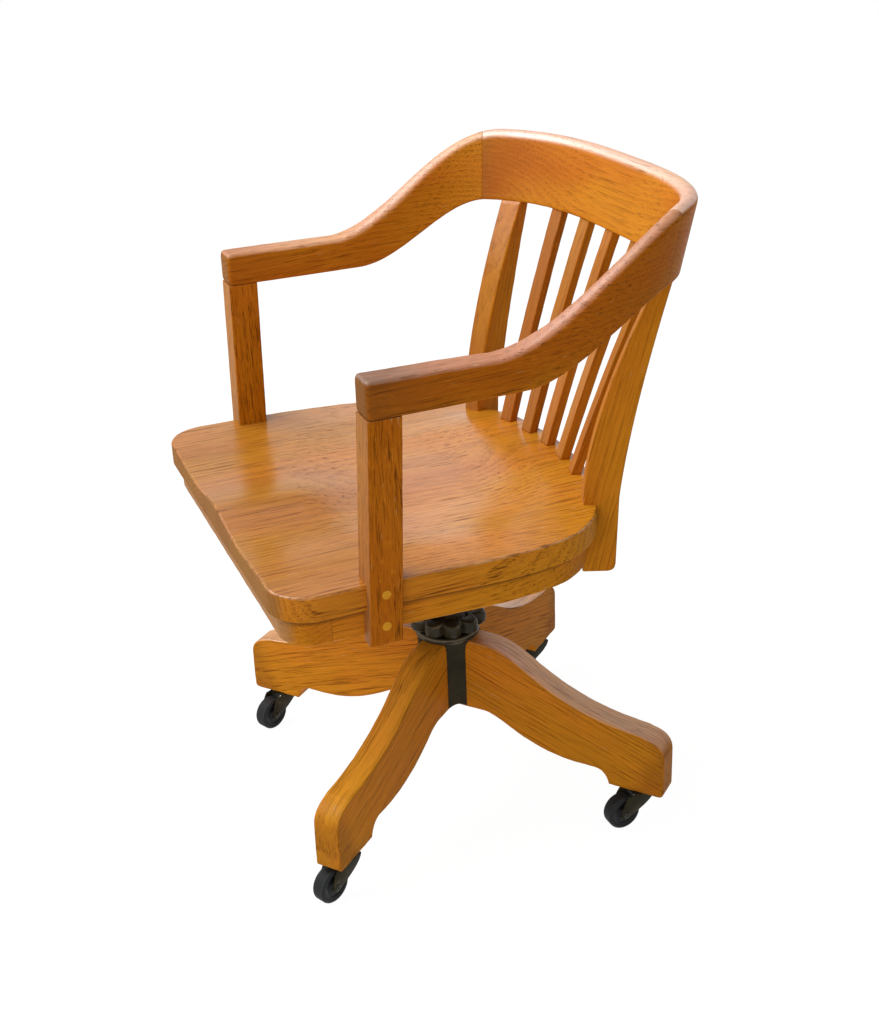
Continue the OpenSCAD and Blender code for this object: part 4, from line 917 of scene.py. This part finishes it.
def leg_shell(s, seed):
    """A leg as a band round its section at each station: the edges follow the two curves, rounded by the worn
    radius towards the flat sides. Returns the points, their wear and where they lie in the board: run along the
    leg, across it, and height over a slope of 0.35, which counts for little on the top and the underside."""
    top, low = leg_curves(s)

    def inward(curve, sign):
        way = np.gradient(curve, axis=0)
        way = np.stack([np.convolve(np.pad(way[:, k], 1, "edge"), [0.25, 0.5, 0.25], "valid") for k in (0, 1)], -1)
        way /= np.linalg.norm(way, axis=1, keepdims=True) + 1e-9
        return sign * np.stack([way[:, 1], -way[:, 0]], -1)

    n_top, n_low = inward(top, 1), inward(low, -1)
    run = np.concatenate([[0], np.cumsum(np.linalg.norm(np.diff(top, axis=0), axis=1))])
    r = (s.worn_edge * (1 + 0.35 * uneven(run, seed)))[:, None]
    half = s.leg_w / 2
    a = np.linspace(0, math.pi / 2, 6)
    columns, worn, board = [], [], []

    def put(point, y, share, flat=0.12):
        columns.append(np.stack([point[:, 0], np.broadcast_to(y, len(point)), point[:, 1]], -1))
        worn.append(np.full(len(point), share))
        rise = 0.35 * point[:, 0] + point[:, 1]
        board.append(np.stack([run + 0 * rise, np.broadcast_to(y, len(point)), flat * rise], -1))

    def half_round(side):
        """One side from the top's middle to the underside's middle."""
        for t in (0.0, 0.5, 0.96):
            put(top, side * (half - r[:, 0]) * t, 0)
        for angle in a:
            put(top + n_top * r * (1 - math.cos(angle)), side * (half - r[:, 0] * (1 - math.sin(angle))),
                math.sin(2 * angle))
        for t in (0.03, 0.2, 0.4, 0.6, 0.8, 0.97):
            put(mix(top + n_top * r, low + n_low * r, t), side * half, 0, 1.0)
        for angle in a[::-1]:
            put(low + n_low * r * (1 - math.cos(angle)), side * (half - r[:, 0] * (1 - math.sin(angle))),
                0.8 * math.sin(2 * angle))
        for t in (0.96, 0.5):
            put(low, side * (half - r[:, 0]) * t, 0)

    half_round(1)
    put(low, 0.0, 0)
    count = len(columns)
    half_round(-1)
    columns, worn, board = (part[:count] + part[count:][::-1][:-1] for part in (columns, worn, board))
    board = np.stack(board, 1)
    grain = np.vstack([board.reshape(-1, 3), board[0].mean(0), board[-1].mean(0)])
    return np.stack(columns, 1), np.stack(worn, 1), grain


class CHAIR_OT_legs(bpy.types.Operator):
    """Adds the four legs"""
    bl_idname = "chair.legs"
    bl_label = "Legs"

    def execute(self, context):
        s = chair_sizes()
        for seed, (name, turn) in enumerate(LEG_TURNS.items(), 50):
            grid, worn, grain = leg_shell(s, seed)
            across = 0.6 * (seed - 50)
            # Painted light: the front-left leg is a lighter copy, by its tone and by bright (most on its top), for the
            # light that falls on it.
            wood = oak(f"leg_{name}", None, shift=(across, 0.02, -0.12 - 0.03 * (seed % 3)),
                       tone={"front_left": -0.30, "rear_left": -0.22}.get(name, -0.14), gloss=1.0, edges=0.6,
                       foot=across + grain[:, 0].max() / 1000 - 0.105, sheen=1.2 if name == "front_left" else 2.4,
                       figure=0.5 if name == "front_left" else 0.65, polish=0.42,
                       bright=0.42 if name == "front_left" else 0.12)
            leg = shell(moved(grid, turn=BASE_TURN + turn), worn)
            add_piece(f"leg_{name}", [leg], "base", wood, [f"leg_{name}"], grain=grain)
        return {"FINISHED"}


class CHAIR_OT_hub(bpy.types.Operator):
    """Adds the hub casting: radius as a function of angle and height, a tube with four corner webs and a flange"""
    bl_idname = "chair.hub"
    bl_label = "Hub"

    def execute(self, context):
        angle = np.linspace(0, 2 * math.pi, 720, endpoint=False)
        off = (np.degrees(angle) - BASE_TURN + 45) % 90 - 45
        off = 45 - np.abs(off)
        web = 39.7 / np.cos(np.radians(np.clip(off, 0, 30)))
        share = 1 - smooth((off - 18.6) / 1.4)
        body = mix(24.0, web, share)
        arch = 6 * np.clip(1 - (off / 20) ** 2, 0, 1) * share
        rows, worn = [], []

        def row(r, z, w=0.0):
            rows.append(np.stack([r * np.cos(angle), r * np.sin(angle), np.broadcast_to(z, angle.shape)], -1))
            worn.append(np.broadcast_to(w, angle.shape))

        flange = 45.0 + 0 * angle
        low = 121.6 + arch
        row(13.1 + 0 * angle, low + 0.4), row(13.6 + 0 * angle, low)
        row(body - 2.0, low), row(body - 0.6, low + 0.5, 0.8), row(body, low + 2.0, 0.5)
        for t in np.linspace(0.05, 1, 12):
            row(body, mix(low + 2, 208, t))
        for a in np.linspace(0.1, 1, 9):
            reach = mix(39.7, 44, 1 - math.cos(a * math.pi / 2))
            wide = math.degrees(math.atan((reach - 26.3) / reach))
            flare = reach / np.cos(np.radians(np.clip(off, 0, 30)))
            row(mix(24.0, flare, 1 - smooth((off - wide) / 1.4)), 208 + 20 * math.sin(a * math.pi / 2), 0.25)
        row(flange - 1.0, 228.0, 0.3), row(flange - 0.2, 228.6, 0.8), row(flange, 229.6, 0.7)
        for drawn_in, z, w in ((0, 233.2, 0.6), (0.5, 234.6, 1.0), (1.4, 235.7, 1.0), (2.8, 236.6, 0.6),
                               (4.5, 237.0, 0.2)):
            row(flange - drawn_in, z, w)
        for r, z in ((40, 237.0), (14, 237.0), (13.1, 236.4)):
            row(r + 0 * angle, z)
        for z in (200, 160, 135):
            row(13.1 + 0 * angle, z + 0 * angle)
        add_piece("hub_casting", [shell(np.stack(rows), np.stack(worn), capped=False)], "base", iron("hub iron", 0.55),
                  ["hub_casting"])
        return {"FINISHED"}


class CHAIR_OT_hand_wheel(bpy.types.Operator):
    """Adds the hand wheel: a turned profile whose rim swells into lobes"""
    bl_idname = "chair.hand_wheel"
    bl_label = "Hand wheel"

    def execute(self, context):
        s = chair_sizes()
        bore = s.spindle_r + 0.1
        profile, worn = rounded([[bore, 240.7], [21, 240.7], [22, 241.7], [s.wheel_r, 241.7], [s.wheel_r, 261.5],
                                 [38, 261.5], [33, 257.6], [25, 257.6], [21, 262], [21, 276.5], [bore, 276.5]],
                                [0.5, 0.5, 0.5, 7.5, 7.5, 4, 3, 2, 3, 2.5, 0.8], 6)

        def lobed(r, angle):
            swell = np.abs(np.cos(5 * (angle + math.radians(12)))) ** 0.8
            rim = 42.5 + (s.wheel_r - 42.5) * swell
            return mix(r, rim * r / s.wheel_r, smooth((r - 24) / 14))

        add_piece("hand_wheel", [shell(turned(profile, 384, lobed), worn[:, None], capped=False)], "handwheel",
                  iron("hand wheel iron", -0.5, coat=0.22), ["hand_wheel"])
        return {"FINISHED"}


class CHAIR_OT_spindle(bpy.types.Operator):
    """Adds the screwed spindle: radius falls by a rounded saw wave of angle and height, one turn for each 8 mm"""
    bl_idname = "chair.spindle"
    bl_label = "Spindle"

    def execute(self, context):
        s = chair_sizes()
        node_low, node_high = (1000 * c.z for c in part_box("spindle"))
        z = np.linspace(node_low + 0.5, node_high - 2.5, 560)[:, None]
        angle = np.linspace(0, 2 * math.pi, 72, endpoint=False)[None]
        phase = (z / 8 - angle / (2 * math.pi)) % 1
        tooth = np.clip(np.abs(phase - 0.5) * 4 - 0.45, 0, 1)
        plain = smooth((z - 284) / 4) + smooth((node_low + 6 - z) / 4)
        r = s.spindle_r - 1.9 * (1 - tooth) * np.clip(1 - plain, 0, 1) - np.maximum(0, z - (node_high - 3.5))
        grid = np.stack([r * np.cos(angle), r * np.sin(angle), np.broadcast_to(z, r.shape)], -1)
        add_piece("spindle", [shell(grid, tooth * 0.8)], "column", steel("spindle steel"), ["spindle"])
        return {"FINISHED"}


class CHAIR_OT_spring(bpy.types.Operator):
    """Adds the tension spring: a round wire carried along a helix of five turns"""
    bl_idname = "chair.spring"
    bl_label = "Tension spring"

    def execute(self, context):
        low, high = (1000 * c.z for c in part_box("tilt_spring"))
        wire, coil = 2.5, 18.5
        t = np.linspace(0, 1, 520)
        a = 2 * math.pi * 5 * t
        lift = mix(low + wire, high - wire, t)
        centre = np.stack([coil * np.cos(a), coil * np.sin(a) + SPRING_AT, lift], -1)
        out = np.stack([np.cos(a), np.sin(a), 0 * a], -1)
        b = np.linspace(0, 2 * math.pi, 14, endpoint=False)
        grid = centre[:, None] + wire * (np.cos(b)[None, :, None] * out[:, None] + np.sin(b)[None, :, None] * UP)
        spring = add_piece("tilt_spring", [shell(grid, 0.3 + 0 * grid[..., 0])], "seat", steel("spring steel", 0.35),
                           ["tilt_spring"])
        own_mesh(spring)
        return {"FINISHED"}


class CHAIR_OT_irons(bpy.types.Operator):
    """Gives the tilt irons, screws, pins and washers their iron and steel"""
    bl_idname = "chair.irons"
    bl_label = "Tilt irons"

    def execute(self, context):
        casting, plain = iron("tilt iron", 0.4), steel("screw steel", 0.25)
        for names, finish in ((("tilt_yoke", "seat_iron"), casting), (TILT_METAL, plain)):
            for name in names:
                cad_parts[name].data.materials.clear()
                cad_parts[name].data.materials.append(finish)
        return {"FINISHED"}


# Casters

def caster_place(name):
    """Where a caster's stem stands, and its heading in degrees."""
    angle = math.radians(BASE_TURN + LEG_TURNS[name])
    return (291 * math.cos(angle), 291 * math.sin(angle), 0), CASTER_TURNS[name]


def lying(grid, along):
    """A surface turned about Z laid on its side, so that its axis runs along Y at x = along."""
    return np.stack([grid[..., 0] + along[0], grid[..., 2], grid[..., 1] + along[1]], -1)


class CHAIR_OT_casters(bpy.types.Operator):
    """Adds the forks, axles and wheels of the four casters"""
    bl_idname = "chair.casters"
    bl_label = "Casters"

    def execute(self, context):
        s = chair_sizes()
        trail, axle_z, half = 29.0, s.caster_r, s.tread_w / 2
        inner = half + 1.2
        outer = inner + 2.4
        crown_z = 2 * s.caster_r + 1.5
        fork_finish, axle_finish = iron("fork steel", -0.9, 0.35), steel("axle steel", 0.92)
        tread_finish = rubber("tread")
        stem, stem_wear = rounded([[0.05, crown_z], [15.1, crown_z], [15.5, crown_z + 2.4], [11, crown_z + 2.6],
                                   [11, 55.5], [5, 55.6], [5, 80], [0.05, 80]], [0.1, 1, 1, 0.5, 0.6, 0.3, 0.8, 0.1], 3)
        fore = bezier([[25, crown_z + 1.6], [31, axle_z + 19], [trail + 7.5, axle_z + 8], [trail + 6.6, axle_z - 2]], 40)
        fore = np.vstack([fore, arc((trail, axle_z), 7, -20, -48, 8)])
        aft = bezier([[-16, crown_z + 2.2], [-14, axle_z + 13], [trail - 18, axle_z + 2], [trail - 5.5, axle_z - 4.5]], 40)
        aft = np.vstack([aft, arc((trail, axle_z), 7, -142, -50, 8)])
        ring = []
        for y, pull in ((-1.2, 0.9), (-0.9, 0.3), (-0.3, 0.0), (0.3, 0.0), (0.9, 0.3), (1.2, 0.9)):
            middle, reach = (fore + aft) / 2, fore - aft
            size = np.linalg.norm(reach, axis=1, keepdims=True) + 1e-6
            ring.append((middle + reach * (0.5 - np.minimum(pull / size, 0.45)), y))
        ring += [((fore + aft) / 2 - (p - (fore + aft) / 2), y) for p, y in ring[::-1]]
        plate = np.stack([np.stack([p[:, 0], np.full(len(p), y), p[:, 1]], -1) for p, y in ring], 1)
        plate_wear = np.tile(np.array([0.9, 0.9, 0.4, 0.4, 0.9, 0.9] * 2), (len(fore), 1))
        pin, pin_wear = rounded([[0.05, -outer - 1.7], [3.2, -outer - 1.6], [4.7, -outer], [3, -outer + 0.2],
                                 [3, outer - 0.2], [4.7, outer], [3.2, outer + 1.6], [0.05, outer + 1.7]],
                                [0.1, 1, 0.8, 0.1, 0.1, 0.8, 1, 0.1], 4)
        r = s.caster_r
        corners = [[3.1, -half - 0.8], [7, -half - 0.8], [8, 1.5 - half], [13, 2.5 - half], [16, 0.6 - half],
                   [r - 3, -half], [r, 2.5 - half]]
        corners += [[x, -z] for x, z in corners[::-1]]
        # The corner shares from rounded() become the painted highlight rings on the tyre.
        wheel, wheel_ring_highlight = rounded(corners, [0.3, 0.6, 0.8, 1.2, 1.2, 1.6, 1.8, 1.8, 1.6, 1.2, 1.2, 0.8, 0.6, 0.3], 4)
        on_tread = smooth((wheel[:, 0] - r + 4) / 3)
        for name in LEG_TURNS:
            at, heading = caster_place(name)
            stand = [shell(moved(turned(stem, 72), at, heading), stem_wear[:, None], capped=False)]
            for side in (-1, 1):
                flank = plate + np.array([0, side * (inner + 1.2), 0])
                stand.append(shell(moved(flank, at, heading), plate_wear))
            crown = np.stack([np.stack([np.array([-15.5, -15.5, 14.5, 14.5]), np.array([y] * 4),
                                        np.array([crown_z, crown_z + 2.3, crown_z + 2.3, crown_z])], -1)
                              for y in np.linspace(-outer + 0.4, outer - 0.4, 9)])
            stand.append(shell(moved(crown, at, heading)))
            add_piece(f"caster_fork_{name}", stand, f"caster_{name}", fork_finish, [f"caster_fork_{name}"])
            rivet = shell(moved(lying(turned(pin, 40), (trail, axle_z)), at, heading), pin_wear[:, None] * 0.15,
                          capped=False)
            add_piece(f"caster_axle_{name}", [rivet], f"caster_{name}", axle_finish, [f"caster_axle_{name}"])
            tyre = shell(moved(lying(turned(wheel, 96), (trail, axle_z)), at, heading), wheel_ring_highlight[:, None] * 0.5,
                         capped=False)
            add_piece(f"caster_wheel_{name}", [tyre], f"wheel_{name}", tread_finish, [f"caster_wheel_{name}"],
                      {"tread": np.repeat(on_tread, 96)})
        return {"FINISHED"}


# Studio

class CHAIR_OT_studio(bpy.types.Operator):
    """Adds the pale floor, the soft lights, the plain surroundings and the camera"""
    bl_idname = "chair.studio"
    bl_label = "Studio"

    def execute(self, context):
        scene = context.scene
        scene.view_settings.view_transform = "Standard"
        mesh = bpy.data.meshes.new("floor")
        mesh.from_pydata([(-40, -40, 0), (40, -40, 0), (40, 40, 0), (-40, 40, 0)], [], [(0, 1, 2, 3)])
        floor = bpy.data.objects.new("floor", mesh)
        scene.collection.objects.link(floor)
        f = Finish("floor")
        ray = f.node("ShaderNodeLightPath")
        seen = Value(f, ray.outputs["Is Camera Ray"]) * 0.88
        seen = seen.most(Value(f, ray.outputs["Is Glossy Ray"])).most(Value(f, ray.outputs["Is Transmission Ray"]))
        matt = f.node("ShaderNodeBsdfDiffuse", None, {"Color": (0.86, 0.86, 0.86, 1)})
        glow = f.node("ShaderNodeEmission", None, {"Color": (1, 1, 1, 1), "Strength": 1.09})
        both = f.node("ShaderNodeMixShader", None, {0: seen, 1: matt.outputs[0], 2: glow.outputs[0]})
        f.node("ShaderNodeOutputMaterial", None, {"Surface": both.outputs[0]})
        mesh.materials.append(f.material)

        world = bpy.data.worlds.new("surroundings")
        world.use_nodes = True
        tree = world.node_tree
        tree.nodes.clear()
        path = tree.nodes.new("ShaderNodeLightPath")
        both = tree.nodes.new("ShaderNodeMath")
        both.operation = "MAXIMUM"
        tree.links.new(path.outputs["Is Camera Ray"], both.inputs[0])
        glossy = tree.nodes.new("ShaderNodeMath")
        glossy.operation = "MAXIMUM"
        tree.links.new(path.outputs["Is Glossy Ray"], glossy.inputs[0])
        tree.links.new(path.outputs["Is Transmission Ray"], glossy.inputs[1])
        tree.links.new(glossy.outputs[0], both.inputs[1])
        strength = tree.nodes.new("ShaderNodeMapRange")
        tree.links.new(both.outputs[0], strength.inputs["Value"])
        strength.inputs["To Min"].default_value = 0.36
        strength.inputs["To Max"].default_value = 1.0
        sky = tree.nodes.new("ShaderNodeBackground")
        sky.inputs["Color"].default_value = (1, 1, 1, 1)
        tree.links.new(strength.outputs[0], sky.inputs["Strength"])
        tree.links.new(sky.outputs[0], tree.nodes.new("ShaderNodeOutputWorld").inputs[0])
        scene.world = world

        for name, at, size, power in (("key", (-0.9, -1.7, 2.9), 2.8, 120), ("fill", (2.2, -1.8, 1.1), 2.2, 16)):
            lamp = bpy.data.lights.new(name, "AREA")
            lamp.shape, lamp.size, lamp.energy = "SQUARE", size, power
            held = bpy.data.objects.new(name, lamp)
            scene.collection.objects.link(held)
            held.location = at
            held.rotation_euler = (Vector((0, 0, 0.45)) - Vector(at)).to_track_quat("-Z", "Y").to_euler()

        azimuth, elevation, roll = (math.radians(v) for v in (66.71, 23.19, -1.62))
        back = Vector((math.sin(azimuth) * math.cos(elevation), -math.cos(azimuth) * math.cos(elevation),
                       math.sin(elevation)))
        right = (-back).cross(Vector((0, 0, 1))).normalized()
        up = right.cross(-back)
        right, up = right * math.cos(roll) + up * math.sin(roll), up * math.cos(roll) - right * math.sin(roll)
        lens = bpy.data.cameras.new("camera")
        lens.sensor_width, lens.lens = 36, 1432.36 * 36 / 1024
        lens.shift_x, lens.shift_y = (439.5 - 473.39) / 1024, (443.88 - 512) / 1024
        lens.clip_end = 50
        camera = bpy.data.objects.new("camera", lens)
        scene.collection.objects.link(camera)
        place = Matrix((right, up, back)).transposed().to_4x4()
        place.translation = Vector((-1.95, 48.68, 499.86)) / 1000 + back * 1.91866
        camera.matrix_world = place
        scene.camera = camera
        return {"FINISHED"}


OPERATORS = (CHAIR_OT_studio, CHAIR_OT_seat, CHAIR_OT_rails, CHAIR_OT_posts, CHAIR_OT_bow, CHAIR_OT_back, CHAIR_OT_legs,
             CHAIR_OT_hub, CHAIR_OT_hand_wheel, CHAIR_OT_spindle, CHAIR_OT_spring, CHAIR_OT_irons, CHAIR_OT_casters)


class CHAIR_PT_panel(bpy.types.Panel):
    """Lists the chair's pieces and its sizes and colours"""
    bl_idname = "CHAIR_PT_panel"
    bl_label = "Desk chair"
    bl_space_type = "VIEW_3D"
    bl_region_type = "UI"
    bl_category = "Desk chair"

    def draw(self, context):
        for operator in OPERATORS:
            self.layout.operator(operator.bl_idname)
        for group in (context.scene.chair_sizes, context.scene.oak_colours, context.scene.metal_colours):
            box = self.layout.box()
            for key in group.__annotations__:
                box.prop(group, key)


GROUPS = {"chair_sizes": ChairSizes, "oak_colours": OakColours, "metal_colours": MetalColours}


def register():
    for cls in (*GROUPS.values(), *OPERATORS, CHAIR_PT_panel):
        bpy.utils.register_class(cls)
    for key, cls in GROUPS.items():
        setattr(bpy.types.Scene, key, bpy.props.PointerProperty(type=cls))


def unregister():
    for key in GROUPS:
        delattr(bpy.types.Scene, key)
    for cls in reversed((*GROUPS.values(), *OPERATORS, CHAIR_PT_panel)):
        bpy.utils.unregister_class(cls)


def main():
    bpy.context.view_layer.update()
    register()
    for operator in OPERATORS:
        group, name = operator.bl_idname.split(".")
        getattr(getattr(bpy.ops, group), name)()


if __name__ == "__main__":
    main()
